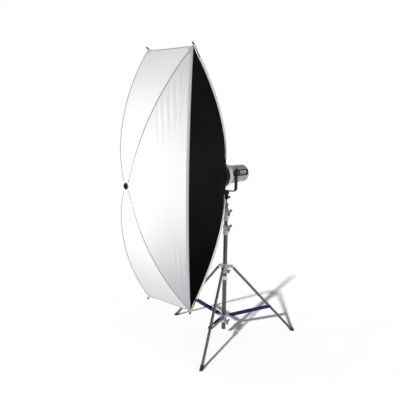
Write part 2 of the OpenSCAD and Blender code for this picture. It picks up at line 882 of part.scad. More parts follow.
module yoke_screws() {
    color([0.7, 0.7, 0.72]) yoke_screw_places() {
        translate([0, 0, -screw_deep]) cylinder(r = screw_r, h = screw_deep + yoke_t);
        translate([0, 0, yoke_t]) cylinder(r = screw_r + 2, h = 3);
    }
}

socket_bore_h = spigot_h + face_gap;
umbrella_z = socket_top - 13;
lock_z = socket_z + 22;
socket_screw_r = 4;

module stand_socket() {
    half = socket_w / 2;
    shoulder = socket_z + socket_bore_h + 1;
    color([0.05, 0.05, 0.055]) difference() {
        union() {
            translate([0, 0, socket_z]) cylinder(r1 = half - 3, r2 = half, h = 15);
            translate([0, 0, socket_z + 15]) cylinder(r = half, h = shoulder - socket_z - 14);
            translate([-half, -half, shoulder]) cube([socket_w, socket_w, socket_top - shoulder]);
            translate([0, 0, lock_z]) bar_along_x(socket_screw_r + 4, half - 6, half + 3);
        }
        translate([0, 0, socket_z - 1]) cylinder(r = spigot_r + run_gap, h = socket_bore_h + 1);
        translate([0, 0, umbrella_z]) pin_along_y(umbrella_r, half + 1);
        translate([0, 0, lock_z]) bar_along_x(socket_screw_r + run_gap, spigot_r - 2, half + 4);
        yoke_screw_places() translate([0, 0, -screw_deep - 0.5])
            cylinder(r = screw_r + seat_gap, h = screw_deep + 1.5);
    }
}

// A round knob with finger scallops; local z points out of the boss face
module scalloped_knob(r, h, count) {
    difference() {
        union() {
            cylinder(r = r - 2, h = 3);
            translate([0, 0, 3]) cylinder(r = r, h = h - 3);
        }
        for (k = [0 : count - 1])
            rotate([0, 0, 360 * k / count]) translate([r + 2.5, 0, -1]) cylinder(r = 4, h = h + 2);
    }
}

module socket_lock_knob() {
    face = socket_w / 2 + 3 + face_gap;
    color([0.55, 0.55, 0.57]) translate([0, 0, lock_z]) {
        bar_along_x(socket_screw_r, spigot_r + face_gap, face + 1);
        translate([face, 0, 0]) rotate([0, 90, 0]) scalloped_knob(11, 15, 6);
    }
}

module tilt_lock_knob() {
    color([0.06, 0.06, 0.065]) difference() {
        translate([-grip_x, pivot_y, pivot_z]) rotate([0, -90, 0]) scalloped_knob(24, tilt_knob_h, 8);
        translate([0, pivot_y, pivot_z])
            bar_along_x(pivot_r + run_gap, -grip_x - tilt_knob_h + 4 - face_gap, -grip_x + 1);
    }
}

// Mast

chrome = [0.78, 0.78, 0.8];
cast_grey = [0.6, 0.59, 0.64];

module base_column() {
    color(chrome) translate([0, 0, column_clear]) ring(column_r, column_r - tube_wall, column_len);
}

module column_plug() {
    color([0.1, 0.1, 0.1]) translate([0, 0, column_clear]) {
        cylinder(r = column_r - tube_wall - seat_gap, h = plug_len);
        translate([0, 0, -3]) cylinder(r = column_r, h = 3);
    }
}

clamp_boss_r = 9;
clamp_screw_r = 4;
clamp_boss_reach = 8;

// A cast clamp: fixed on the outer tube below the step, guiding the inner tube above it
module clamp_casting(z, h, step_z, r_outer_tube, r_inner_tube, boss_z) {
    r = r_outer_tube + clamp_wall;
    bevel = 3;
    color(cast_grey) difference() {
        union() {
            translate([0, 0, z]) rotate_extrude()
                polygon([[0, 0], [r - bevel, 0], [r, bevel], [r, h * 0.28], [r - 1.5, h * 0.34],
                    [r - 1.5, h * 0.66], [r, h * 0.72], [r, h - bevel], [r - bevel, h], [0, h]]);
            outwards(clamp_turn, boss_z) bar_along_x(clamp_boss_r, r - 8, r + clamp_boss_reach);
        }
        translate([0, 0, z - 1]) cylinder(r = r_outer_tube + seat_gap, h = step_z - z + 1);
        translate([0, 0, step_z - 1]) cylinder(r = r_inner_tube + run_gap, h = z + h - step_z + 2);
        outwards(clamp_turn, boss_z)
            bar_along_x(clamp_screw_r + run_gap, r_inner_tube - 2, r + clamp_boss_reach + 1);
    }
}

// A three-lobed knob on a screw; face_r is the boss face it closes on, span its sweep
module wing_knob(turn, z, tip_r, face_r, span) {
    lobe_t = 11;
    lobe_r = span * 0.15;
    lobe_out = span / 2 - lobe_r;
    hub = 10;
    out = face_r + face_gap;
    color(cast_grey) outwards(turn, z) {
        bar_along_x(clamp_screw_r, tip_r, out + 1);
        bar_along_x(hub, out, out + 8);
        translate([out + 3, 0, 0]) rotate([90, 0, 90]) linear_extrude(lobe_t) {
            circle(span * 0.2);
            for (k = [0 : 2]) rotate(30 + 120 * k) {
                translate([lobe_out, 0]) circle(lobe_r);
                translate([0, -lobe_r * 0.75]) square([lobe_out, lobe_r * 1.5]);
            }
        }
    }
}

column_boss_z = column_clamp_top - 14;
riser_boss_z = riser_clamp_top - 26;

module column_clamp() {
    clamp_casting(column_clamp_top - column_clamp_h, column_clamp_h, column_top, column_r, middle_r,
        column_boss_z);
}

module column_clamp_knob() {
    wing_knob(clamp_turn, column_boss_z, middle_r + face_gap,
        column_r + clamp_wall + clamp_boss_reach, wing_span);
}

module riser_clamp() {
    clamp_casting(riser_clamp_z, riser_clamp_h, middle_top, middle_r, top_r, riser_boss_z);
}

module riser_clamp_knob() {
    wing_knob(clamp_turn, riser_boss_z, top_r + face_gap, middle_r + clamp_wall + clamp_boss_reach, wing_span);
}

module middle_tube() {
    color(chrome) translate([0, 0, middle_z]) difference() {
        cylinder(r = middle_r, h = middle_top - middle_z);
        translate([0, 0, middle_floor]) cylinder(r = middle_r - tube_wall, h = middle_top - middle_z);
    }
}

module top_tube() {
    color(chrome) translate([0, 0, top_z]) ring(top_r, top_r - tube_wall, cap_z - top_z);
}

module top_fitting() {
    plug_r = top_r - tube_wall - seat_gap;
    color([0.25, 0.25, 0.27]) {
        translate([0, 0, cap_z - 26]) cylinder(r = plug_r, h = 27);
        translate([0, 0, cap_z]) cylinder(r = cap_r, h = 12);
        translate([0, 0, cap_z + 12]) cylinder(r = cap_r - 2.5, h = 4);
        translate([0, 0, cap_z + 16]) cylinder(r = cap_r, h = cap_h - 16);
        translate([0, 0, neck_z - 1]) cylinder(r = neck_r, h = neck_h + 2);
        translate([0, 0, socket_z]) cylinder(r = spigot_r, h = spigot_h);
    }
}

// Tripod

knob_boss_r = 9;
knob_reach = 10;
knob_screw_r = 4;

module collar_boss(r, z) {
    outwards(knob_turn, z) bar_along_x(knob_boss_r, r - 5, r + knob_reach);
}

module collar_boss_bore(r, z) {
    outwards(knob_turn, z) bar_along_x(knob_screw_r + run_gap, column_r - 2, r + knob_reach + 1);
}

collar_knob_z = collar_z + 20;
runner_knob_z = runner_z + 13;

// Ears in pairs take the flattened leg ends
module leg_collar() {
    ear_in = tongue_t / 2 + face_gap;
    bevel = 3;
    color(cast_grey) difference() {
        union() {
            translate([0, 0, collar_z]) rotate_extrude()
                polygon([[0, 0], [collar_r - bevel, 0], [collar_r, bevel], [collar_r, collar_h - bevel],
                    [collar_r - bevel, collar_h], [0, collar_h]]);
            for (k = [0 : 2], side = [-1, 1])
                at_leg(k) translate([0, side * (ear_in + ear_t / 2), leg_pivot_z]) {
                    translate([leg_pivot_r, 0, 0]) pin_along_y(eye_r, ear_t / 2);
                    translate([collar_r - 6, -ear_t / 2, -eye_r])
                        cube([leg_pivot_r - collar_r + 6, ear_t, 2 * eye_r]);
                }
            collar_boss(collar_r, collar_knob_z);
        }
        translate([0, 0, collar_z - 1]) cylinder(r = column_r + seat_gap, h = collar_h + 2);
        for (k = [0 : 2])
            at_leg(k) translate([leg_pivot_r, 0, leg_pivot_z]) pin_along_y(bolt_r + seat_gap, 20);
        collar_boss_bore(collar_r, collar_knob_z);
    }
}

module leg_pivot_bolts() {
    half = tongue_t / 2 + face_gap + ear_t;
    color([0.5, 0.5, 0.52]) for (k = [0 : 2])
        at_leg(k) translate([leg_pivot_r, 0, leg_pivot_z]) {
            pin_along_y(bolt_r, half + 1);
            for (side = [-1, 1])
                translate([0, side * (half + 2), 0]) pin_along_y(bolt_r + 3, 2);
        }
}

module leg_collar_knob() {
    wing_knob(knob_turn, collar_knob_z, column_r + face_gap, collar_r + knob_reach, wing_span * 0.6);
}

module stop_ring() {
    color([0.85, 0.85, 0.87]) translate([0, 0, stop_z]) difference() {
        rotate_extrude() polygon([[0, 0], [stop_r - 2, 0], [stop_r, 3], [stop_r, stop_h - 3],
            [stop_r - 2, stop_h], [0, stop_h]]);
        translate([0, 0, -1]) cylinder(r = column_r + seat_gap, h = stop_h + 2);
    }
}

tube_start = 30;
tube_end = leg_len - 20;
leg_eye_r = bolt_r + 5;

module leg_tube(k) {
    color(chrome) down_leg(k) difference() {
        union() {
            translate([0, 0, tube_start - 4]) cylinder(r = leg_r, h = tube_end - tube_start + 4);
            pin_along_y(leg_eye_r, tongue_t / 2);
            translate([-leg_eye_r, -tongue_t / 2, 0]) cube([2 * leg_eye_r, tongue_t, tube_start]);
        }
        pin_along_y(bolt_r + run_gap, tongue_t);
        translate([0, 0, tube_start]) cylinder(r = leg_r - leg_wall, h = tube_end);
    }
}

module leg_foot(k) {
    sock = 16;
    color([0.05, 0.05, 0.05]) difference() {
        down_leg(k) difference() {
            translate([0, 0, tube_end - sock]) cylinder(r = foot_cap_r, h = leg_len + foot_cap_r - tube_end + sock);
            translate([0, 0, tube_end - sock - 1]) cylinder(r = leg_r + seat_gap, h = sock + 1);
        }
        translate([-2 * foot_r, -2 * foot_r, -100]) cube([4 * foot_r, 4 * foot_r, 100]);
    }
}

module leg_tube_1() { leg_tube(0); }
module leg_tube_2() { leg_tube(1); }
module leg_tube_3() { leg_tube(2); }
module leg_foot_1() { leg_foot(0); }
module leg_foot_2() { leg_foot(1); }
module leg_foot_3() { leg_foot(2); }

runner_r = column_r + collar_wall;

// The runner slides on the column; a broad lug for each brace
module runner() {
    lug_half = brace_in - face_gap;
    bevel = 3;
    color(cast_grey) difference() {
        union() {
            translate([0, 0, runner_z]) rotate_extrude()
                polygon([[0, 0], [runner_r - bevel, 0], [runner_r, bevel], [runner_r, runner_h - bevel],
                    [runner_r - bevel, runner_h], [0, runner_h]]);
            for (k = [0 : 2])
                at_leg(k) translate([0, 0, brace_pivot_z]) {
                    translate([brace_pivot_r, 0, 0]) pin_along_y(lug_r, lug_half);
                    translate([runner_r - 8, -lug_half, -lug_r])
                        cube([brace_pivot_r - runner_r + 8, 2 * lug_half, 2 * lug_r]);
                }
            collar_boss(runner_r, runner_knob_z);
        }
        translate([0, 0, runner_z - 1]) cylinder(r = column_r + run_gap, h = runner_h + 2);
        for (k = [0 : 2])
            at_leg(k) translate([brace_pivot_r, 0, brace_pivot_z]) pin_along_y(bolt_r + seat_gap, 20);
        collar_boss_bore(runner_r, runner_knob_z);
    }
}

module runner_knob() {
    wing_knob(knob_turn, runner_knob_z, column_r + face_gap, runner_r + knob_reach, wing_span * 0.8);
}

module runner_bolts() {
    half = brace_in + brace_t + face_gap;
    color([0.55, 0.55, 0.57]) for (k = [0 : 2])
        at_leg(k) translate([brace_pivot_r, 0, brace_pivot_z]) {
            pin_along_y(bolt_r, half + 1);
            for (side = [-1, 1])
                translate([0, side * (half + 1.5), 0]) pin_along_y(bolt_r + 3, 1.5);
        }
}

// An open channel that the folded leg lies in; its floor stops short of the leg
module brace(k) {
    cheek_mid = brace_in + brace_t / 2;
    floor_from = brace_pivot_r * 0.5;
    floor_to = brace_len * 0.55;
    rivet_r = 6;
    color([0.1, 0.08, 0.42]) along_brace(k) difference() {
        union() {
            for (side = [-1, 1])
                translate([0, side * cheek_mid, 0]) {
                    pin_along_y(brace_h / 2, brace_t / 2);
                    translate([brace_len, 0, 0]) pin_along_y(brace_h / 2, brace_t / 2);
                    translate([0, -brace_t / 2, -brace_h / 2]) cube([brace_len, brace_t, brace_h]);
                    translate([brace_len, side * 2, 0]) pin_along_y(rivet_r, brace_t / 2);
                }
            translate([floor_from, -brace_in - 1, -brace_h / 2])
                cube([floor_to - floor_from, 2 * brace_in + 2, brace_t]);
        }
        pin_along_y(bolt_r + run_gap, 2 * brace_in);
    }
}

module brace_1() { brace(0); }
module brace_2() { brace(1); }
module brace_3() { brace(2); }

back_top();
back_bottom();
back_left();
back_right();
front_top();
front_bottom();
front_left();
front_right();
speed_ring();
back_rods();
rod_sleeves();
corner_pockets();
front_ribs();
front_hub();
hub_grommet();
inner_baffle();
adapter_ring();
front_housing();
front_ring();
flash_body();
rear_panel();
side_grip();
pivot_shafts();
flash_tube();
modelling_lamp();
mains_inlet();
power_dial();
test_button();
rocker_switch();
stand_socket();
yoke();
yoke_screws();
socket_lock_knob();
tilt_lock_knob();
base_column();
column_plug();
column_clamp();
column_clamp_knob();
leg_collar();
leg_collar_knob();
stop_ring();
leg_pivot_bolts();
leg_tube_1();
leg_tube_2();
leg_tube_3();
leg_foot_1();
leg_foot_2();
leg_foot_3();
runner();
runner_knob();
runner_bolts();
brace_1();
brace_2();
brace_3();
middle_tube();
riser_clamp();
riser_clamp_knob();
top_tube();
top_fitting();
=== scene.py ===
# %% [markdown]
# # A strip softbox on its stand
# The imported CAD model is the frame of this scene: every rigid piece is already in
# place, in metres. The cloth of the softbox is made anew here as fine curved sheets,
# and every surface gets a material made from nodes.

# %% Load the frame
import math

import bmesh
import bpy
import numpy as np
from mathutils import Matrix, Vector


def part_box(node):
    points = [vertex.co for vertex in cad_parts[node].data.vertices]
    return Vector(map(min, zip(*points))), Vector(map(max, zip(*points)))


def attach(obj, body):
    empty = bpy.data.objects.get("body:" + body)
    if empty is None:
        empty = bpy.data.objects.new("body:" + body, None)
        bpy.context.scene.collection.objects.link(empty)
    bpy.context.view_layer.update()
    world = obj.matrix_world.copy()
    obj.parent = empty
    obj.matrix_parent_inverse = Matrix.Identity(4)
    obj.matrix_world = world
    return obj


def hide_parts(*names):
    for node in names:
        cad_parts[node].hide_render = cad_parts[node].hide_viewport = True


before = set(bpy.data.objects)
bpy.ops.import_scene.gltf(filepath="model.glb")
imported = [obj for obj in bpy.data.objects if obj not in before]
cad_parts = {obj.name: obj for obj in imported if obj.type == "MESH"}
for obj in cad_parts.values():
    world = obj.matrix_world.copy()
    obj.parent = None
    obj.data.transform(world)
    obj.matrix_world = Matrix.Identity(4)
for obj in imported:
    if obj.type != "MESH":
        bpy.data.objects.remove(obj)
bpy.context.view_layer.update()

# %% [markdown]
# ## Grids and sweeps
# A curved sheet is a table of points: rows run one way over the surface and columns
# the other. Blender only wants the points and the quads between neighbours, so a few
# helpers are enough: one turns a table into a mesh, two list its quads, and one carries
# a ring of points along a path. All work on whole arrays. Blender's modifiers could sweep
# a curve too, but a table keeps the seam of one sheet exactly on the edge of the next.

# %% Mesh helpers
def make_mesh(name, points, quads, across=None):
    """A smooth mesh from points (n, 3) and quads (m, 4); across (n, 2) is its UV in metres."""
    mesh = bpy.data.meshes.new(name)
    mesh.from_pydata(points.tolist(), [], quads.tolist())
    mesh.polygons.foreach_set("use_smooth", np.ones(len(mesh.polygons), dtype=bool))
    if across is not None:
        layer = mesh.uv_layers.new(name="cut")
        corners = np.empty(len(mesh.loops), dtype=np.int32)
        mesh.loops.foreach_get("vertex_index", corners)
        layer.data.foreach_set("uv", across[corners].astype(np.float32).ravel())
    mesh.update()
    obj = bpy.data.objects.new(name, mesh)
    bpy.context.scene.collection.objects.link(obj)
    return obj


def weld(obj):
    """Merges the points that lie on each other, which closes the poles of a surface."""
    mesh = bmesh.new()
    mesh.from_mesh(obj.data)
    bmesh.ops.remove_doubles(mesh, verts=mesh.verts, dist=1e-7)
    mesh.to_mesh(obj.data)
    mesh.free()
    return obj


def grid_quads(rows, cols, wrap=False, flip=False, start=0):
    """Quads between the neighbours of a rows x cols table; wrap joins last column to first."""
    i = np.arange(rows - 1)[:, None]
    j = np.arange(cols if wrap else cols - 1)[None, :]
    k = (j + 1) % cols
    quads = np.stack([i * cols + j, i * cols + k, (i + 1) * cols + k, (i + 1) * cols + j], -1)
    quads = quads.reshape(-1, 4)
    return (quads[:, ::-1] if flip else quads) + start


def closed_quads(rows, cols):
    """Quads of a table that closes on itself both ways, as on a ring."""
    i = np.arange(rows)[:, None]
    j = np.arange(cols)[None, :]
    m = (i + 1) % rows
    k = (j + 1) % cols
    quads = np.stack(np.broadcast_arrays(m * cols + j, m * cols + k, i * cols + k, i * cols + j), -1)
    return quads.reshape(-1, 4)


def faces_in(table, normal):
    """Whether the quads of a table face against its normals, judged at its middle."""
    r, c = table.shape[0] // 2, table.shape[1] // 2
    along = table[r, c] - table[r - 1, c]
    across = table[r, c] - table[r, c - 1]
    return float(np.dot(np.cross(across, along), normal[r, c])) < 0


def unit(a):
    """Each vector divided by its own length."""
    return a / np.linalg.norm(a, axis=-1, keepdims=True)


def run_along(line):
    """Distance from the start of a line of points to each of them."""
    return np.concatenate([[0], np.cumsum(np.linalg.norm(np.diff(line, axis=0), axis=-1))])


def sweep_table(path, radius, sides=20):
    """Ring k of a sweep is path[k] + radius[k] (cos a * side + sin a * up)."""
    tangent = unit(np.gradient(path, axis=0))
    side = unit(np.cross(tangent, [0.0, 1.0, 0.0]))
    up = np.cross(side, tangent)
    a = np.linspace(0, 2 * np.pi, sides, endpoint=False)
    ring = np.cos(a)[None, :, None] * side[:, None] + np.sin(a)[None, :, None] * up[:, None]
    return path[:, None] + np.broadcast_to(radius, len(path))[:, None, None] * ring


print("helpers ready")

# %% [markdown]
# ## Shader arithmetic
# A material is a graph, and graphs are long-winded to write. One small class wraps an
# output socket: adding, multiplying or raising two of them adds the Math node for it,
# and `add` puts in any other node. Formulas for weave, dust or wear then read as formulas.

# %% One class for sockets
class Wire:
    """An output socket in a node tree that can be calculated with."""

    def __init__(self, tree, socket):
        self.tree = tree
        self.socket = socket

    def add(self, kind, feeds, out=0, **settings):
        """Adds a node of this kind; feeds maps its inputs to wires or plain values."""
        node = self.tree.nodes.new(kind)
        for name, value in settings.items():
            setattr(node, name, value)
        for key, value in feeds.items():
            if isinstance(value, Wire):
                self.tree.links.new(value.socket, node.inputs[key])
            else:
                node.inputs[key].default_value = value
        return Wire(self.tree, node.outputs[out])

    def out(self, name):
        """Another output of the node that this wire comes from."""
        return Wire(self.tree, self.socket.node.outputs[name])

    def math(self, operation, a, b=0.0):
        """A Math node for one operation on two wires or plain numbers."""
        return self.add("ShaderNodeMath", {0: a, 1: b}, operation=operation)

    def __add__(self, other):
        return self.math("ADD", self, other)

    def __radd__(self, other):
        return self.math("ADD", other, self)

    def __sub__(self, other):
        return self.math("SUBTRACT", self, other)

    def __rsub__(self, other):
        return self.math("SUBTRACT", other, self)

    def __mul__(self, other):
        return self.math("MULTIPLY", self, other)

    def __rmul__(self, other):
        return self.math("MULTIPLY", other, self)

    def __pow__(self, other):
        return self.math("POWER", self, other)

    def __rpow__(self, other):
        return self.math("POWER", other, self)


def steps(x, low, high):
    """0 below low, 1 above high and smooth between."""
    return x.add("ShaderNodeMapRange", {"Value": x, "From Min": low, "From Max": high},
                 interpolation_type="SMOOTHSTEP")


def cycle(x, period):
    """A sine of x with this period, from -1 to 1."""
    return x.math("SINE", x * (2 * math.pi / period))


def mix(factor, first, second):
    """Two colours mixed by a wire."""
    return factor.add("ShaderNodeMix", {"Factor": factor, 6: first, 7: second}, out=2, data_type="RGBA")


def noise(at, scale, detail=3.0, rough=0.55):
    """Soft noise of about 0 to 1 over object coordinates in metres."""
    return at.add("ShaderNodeTexNoise", {"Vector": at, "Scale": scale, "Detail": detail, "Roughness": rough})


def parts_of(at):
    """The three components of a vector wire."""
    x = at.add("ShaderNodeSeparateXYZ", {0: at})
    return x, x.out(1), x.out(2)


print("wires ready")

# %% [markdown]
# A finish needs three things at hand: where a point is on the object, its UV, and the
# inputs of the shader. They could be looked up for every material, but a second small
# class keeps them together, and each finish below is then only a few lines.

# %% One class for materials
class Finish:
    """A material in the making: where it is on the object, its UV, and the shader's inputs."""

    def __init__(self, name, **fixed):
        self.material = bpy.data.materials.new(name)
        self.material.use_nodes = True
        tree = self.material.node_tree
        self.shader = tree.nodes["Principled BSDF"]
        self.at = Wire(tree, None).add("ShaderNodeTexCoord", {}, out="Object")
        self.cut = self.at.out("UV")
        for key, value in fixed.items():
            self.shader.inputs[key.replace("_", " ")].default_value = value

    def feed(self, **wires):
        """Links wires to the shader's inputs of these names."""
        for key, wire in wires.items():
            socket = self.shader.inputs[key.replace("_", " ")]
            wire.tree.links.new(wire.socket, socket)
        return self

    def bump(self, height, distance, strength=1.0):
        """Tilts the normal as if a height of 1 stood up by this distance in metres."""
        lifted = height.add("ShaderNodeBump", {"Height": height, "Distance": distance, "Strength": strength})
        return self.feed(Normal=lifted)


print("material class ready")

# %% [markdown]
# ## Cloth finishes
# The shell is black coated nylon: a fine plain weave, matt and nearly black, with painted
# light that greys it round the middle and painted shade towards its ends. The front is white
# diffuser cloth; its own emission paints the glow of the lamp behind it, nearly white in the
# middle, and painted shade lets the ends fall off to a cool grey. Tapes and sleeves are
# matt cotton with rows of stitches. The weave is two crossed sine waves over the object's
# own coordinates, so it needs no unwrapping and keeps its scale on every panel.

# %% Cloth materials
def weave(at, pitch):
    """Height of a plain weave: threads along X or Z over threads along Y."""
    x, y, z = parts_of(at)
    return cycle(x + z, pitch) * cycle(y + z * 0.35, pitch)


def black_shell_cloth():
    """Black coated weave; painted light greys it round the middle, and painted shade darkens it towards the
    bottom and a little towards the top.
    """
    f = Finish("black_shell_cloth", Specular_IOR_Level=0.006)
    patchy = noise(f.at, 2.2, 2.0)
    fine = noise(f.at, 90.0)
    z = parts_of(f.at)[2]
    # Painted light and shade by height: greyest round the middle, darkest at the bottom and a little darker
    # at the top.
    painted_light_by_height = steps(z, 0.6, 1.35) * (1.0 - 0.4 * steps(z, 1.5, 2.1)) * 0.85 + 0.15
    tone = mix(painted_light_by_height * (patchy * 0.7 + fine * 0.3), (0.0005, 0.0006, 0.0006, 1), (0.019, 0.0198, 0.0192, 1))
    f.feed(Base_Color=tone, Roughness=0.58 + 0.16 * fine)
    f.bump(weave(f.at, 0.0016) * 0.5 + fine * 0.8, 0.0006, 0.5)
    return f.material


# Height of the middle of the painted glow.
PAINTED_GLOW_HEIGHT = 1.42


def white_front_cloth(name, shade):
    """Diffuser cloth with a painted glow of the lamp behind its middle and painted shade towards its ends;
    shade sets how far painted shade greys its lower end.
    """
    f = Finish(name, Specular_IOR_Level=0.2, Emission_Strength=1.0)
    x, _, z = parts_of(f.at)
    up = z - PAINTED_GLOW_HEIGHT
    off_axis = (up * up + x * x * 0.6) ** 0.5
    # Painted glow and shade: the glow fades and the cloth greys from the middle towards the ends.
    painted_falloff = steps(off_axis, 0.02, 0.98)
    cloudy = noise(f.at, 5.0, 3.0)
    tone = mix(cloudy * 0.3 + painted_falloff * 0.5, (0.70, 0.70, 0.695, 1), (0.58, 0.595, 0.61, 1))
    # Painted shade: the lower end greys by the amount shade.
    tone = mix(shade - shade * steps(z, 0.42, 1.15), tone, (0.44, 0.46, 0.48, 1))
    # Painted glow: the cloth's emission stands for the lamp's light through it; the cloth is no lamp.
    painted_glow = mix(painted_falloff, (0.40, 0.40, 0.395, 1), (0.02, 0.024, 0.032, 1))
    f.feed(Base_Color=tone, Roughness=0.78 + 0.12 * cloudy, Emission_Color=painted_glow)
    f.bump(weave(f.at, 0.0012) * 0.6 + noise(f.at, 140.0) * 0.6, 0.0004, 0.35)
    return f.material


def stitched(name, base, thread, pitch, rows):
    """Woven tape with rows of stitches; UV runs along the tape and 0 to 1 across it."""
    f = Finish(name, Sheen_Weight=0.2, Sheen_Roughness=0.5)
    u, v, _ = parts_of(f.cut)
    dash = steps(cycle(u, pitch), -0.35, 0.1)
    line = 0.0
    for row in rows:
        line = (1.0 - steps(f.cut.math("ABSOLUTE", v - row), 0.018, 0.04)) + line
    stitch = dash * line
    rib = cycle(u, 0.0011) * cycle(v, 0.09)
    dusty = noise(f.at, 24.0)
    worn = tuple(0.8 * c for c in base[:3]) + (1,)
    tone = mix(stitch, mix(dusty, base, worn), thread)
    f.feed(Base_Color=tone, Roughness=0.72 + 0.2 * dusty)
    f.bump(rib * 0.2 + stitch * 0.8 + dusty * 0.3, 0.0006, 0.6)
    return f.material


shell_cloth = black_shell_cloth()
# Two copies of one cloth with different painted shade: the side panels grey more at their lower end than the
# top and bottom ones.
front_cloth = white_front_cloth("white_side_cloth", 0.68)
end_cloth = white_front_cloth("white_end_cloth", 0.12)
seam_tape = stitched("seam_tape", (0.36, 0.325, 0.285, 1), (0.5, 0.47, 0.43, 1), 0.005, (0.2, 0.8))
sleeve_cloth = stitched("sleeve_cloth", (0.8, 0.79, 0.8, 1), (0.58, 0.57, 0.58, 1), 0.006, (0.62,))
pocket_cloth = stitched("pocket_cloth", (0.62, 0.545, 0.46, 1), (0.45, 0.39, 0.32, 1), 0.005, (0.12, 0.88))
print("cloth finishes", [m.name for m in bpy.data.materials])

# %% [markdown]
# The long edges of the rim are bound with one folded tape in two tones: a wide cool grey
# band that lies on the white cloth and a narrow sandy edge that turns over the rim. Two
# strips could be laid side by side, but one material does both, because the tape's UV says
# how far across we are. The short edges take the narrow sandy tape of the seams.

# %% Hem finish
def two_tone_hem():
    """Grey tape that turns sandy two thirds of the way across, with a row of stitches before."""
    f = Finish("two_tone_hem", Sheen_Weight=0.2, Sheen_Roughness=0.5)
    u, v, _ = parts_of(f.cut)
    edge = steps(v, 0.66, 0.7)
    dash = steps(cycle(u, 0.005), -0.35, 0.1)
    row = 1.0 - steps(f.cut.math("ABSOLUTE", v - 0.58), 0.012, 0.03)
    dusty = noise(f.at, 18.0)
    grey = mix(dusty, (0.6, 0.6, 0.645, 1), (0.5, 0.5, 0.54, 1))
    sand = mix(dusty, (0.56, 0.5, 0.42, 1), (0.47, 0.41, 0.34, 1))
    tone = mix(dash * row, mix(edge, grey, sand), (0.36, 0.35, 0.36, 1))
    f.feed(Base_Color=tone, Roughness=0.74 + 0.16 * dusty)
    f.bump(cycle(u, 0.0012) * cycle(v, 0.06) * 0.3 + dash * row + dusty * 0.3, 0.0006, 0.6)
    return f.material


hem_tape = two_tone_hem()
print("hem finish", hem_tape.name)

# %% [markdown]
# ## Metal, plastic, rubber and glass
# The mast is chromed tube, the clamps and collars are castings in lavender grey paint,
# the braces are navy enamel and the yoke is black powder coat. Each finish gets the
# flaws of its making: draw lines along the tubes, a pebbled skin on castings, orange
# peel in enamel, a spark texture on moulded plastic.

# %% Hard finishes
def chrome_tube(name, dark, light):
    """Drawn tube under chrome: fine lines along it and smudges from hands."""
    f = Finish(name, Metallic=1.0)
    drawn = f.at.add("ShaderNodeMapping", {"Vector": f.at, "Scale": (220.0, 220.0, 6.0)})
    lines = noise(drawn, 1.0, 4.0)
    smudge = noise(f.at, 9.0)
    tone = mix(lines * 0.6 + smudge * 0.4, dark, light)
    f.feed(Base_Color=tone, Roughness=0.1 + 0.16 * smudge)
    f.bump(lines, 0.0001, 0.25)
    return f.material


def cast_paint(name, dark, light, metallic=0.25, rough=0.38):
    """Paint over a casting: pebbled skin, with painted shade in its dips."""
    f = Finish(name, Metallic=metallic)
    pebble = f.at.add("ShaderNodeTexVoronoi", {"Vector": f.at, "Scale": 420.0})
    cloud = noise(f.at, 26.0)
    # Painted shade: the pebble's dips are darker.
    f.feed(Base_Color=mix(cloud * 0.6 + pebble * 0.6, dark, light), Roughness=rough + 0.2 * cloud)
    f.bump(pebble * 0.6 + cloud, 0.0004, 0.4)
    return f.material


def enamel(name, base, worn, rough=0.3, shine=0.3):
    """Enamel with orange peel and faint scuffs."""
    f = Finish(name, Specular_IOR_Level=shine)
    peel = noise(f.at, 160.0, 1.0)
    scuff = steps(noise(f.at, 34.0, 6.0, 0.7), 0.6, 0.78)
    f.feed(Base_Color=mix(scuff * 0.5, base, worn), Roughness=rough + 0.25 * scuff)
    f.bump(peel, 0.0003, 0.25)
    return f.material


def moulded(name, base, lift, rough=0.42, grain=700.0, shine=0.3):
    """Moulded plastic with a spark-eroded grain."""
    f = Finish(name, Specular_IOR_Level=shine)
    spark = noise(f.at, grain, 2.0, 0.6)
    rubbed = noise(f.at, 14.0)
    f.feed(Base_Color=mix(rubbed * 0.7 + spark * 0.3, base, lift), Roughness=rough + 0.18 * rubbed)
    f.bump(spark, 0.0002, 0.4)
    return f.material


def steel(name, dark, light):
    """Turned steel: fine rings and a little oil."""
    f = Finish(name, Metallic=1.0)
    turned = noise(f.at.add("ShaderNodeMapping", {"Vector": f.at, "Scale": (900.0, 60.0, 900.0)}), 1.0)
    f.feed(Base_Color=mix(turned, dark, light), Roughness=0.22 + 0.2 * turned)
    f.bump(turned, 0.0001, 0.3)
    return f.material


def case_paint():
    """Satin lavender paint of the lamp case, with painted shade that turns its top a darker grey."""
    f = Finish("lavender_case", Specular_IOR_Level=0.3)
    # Painted shade: the top of the case goes over into a darker grey.
    top = steps(parts_of(f.at)[2], 1.388, 1.428)
    grain = noise(f.at, 420.0, 2.0, 0.6)
    rubbed = noise(f.at, 14.0)
    below = mix(rubbed * 0.7 + grain * 0.3, (0.37, 0.38, 0.47, 1), (0.47, 0.48, 0.57, 1))
    f.feed(Base_Color=mix(top, below, (0.13, 0.135, 0.165, 1)), Roughness=0.22 + 0.18 * rubbed)
    f.bump(grain, 0.0002, 0.4)
    return f.material


def lamp_glass():
    """Clear glass, frosted in patches."""
    f = Finish("lamp_glass", Transmission_Weight=0.85, IOR=1.47)
    frost = noise(f.at, 60.0)
    tone = mix(frost, (0.95, 0.94, 0.9, 1), (0.85, 0.86, 0.86, 1))
    f.feed(Base_Color=tone, Roughness=0.12 + 0.3 * frost)
    return f.material


print("hard finishes can be made")

# %% [markdown]
# Each finish now gets its name and two tones, a dark and a light one, which its noise mixes.
# One flat colour would do for a far view, but from near every real surface varies a little.

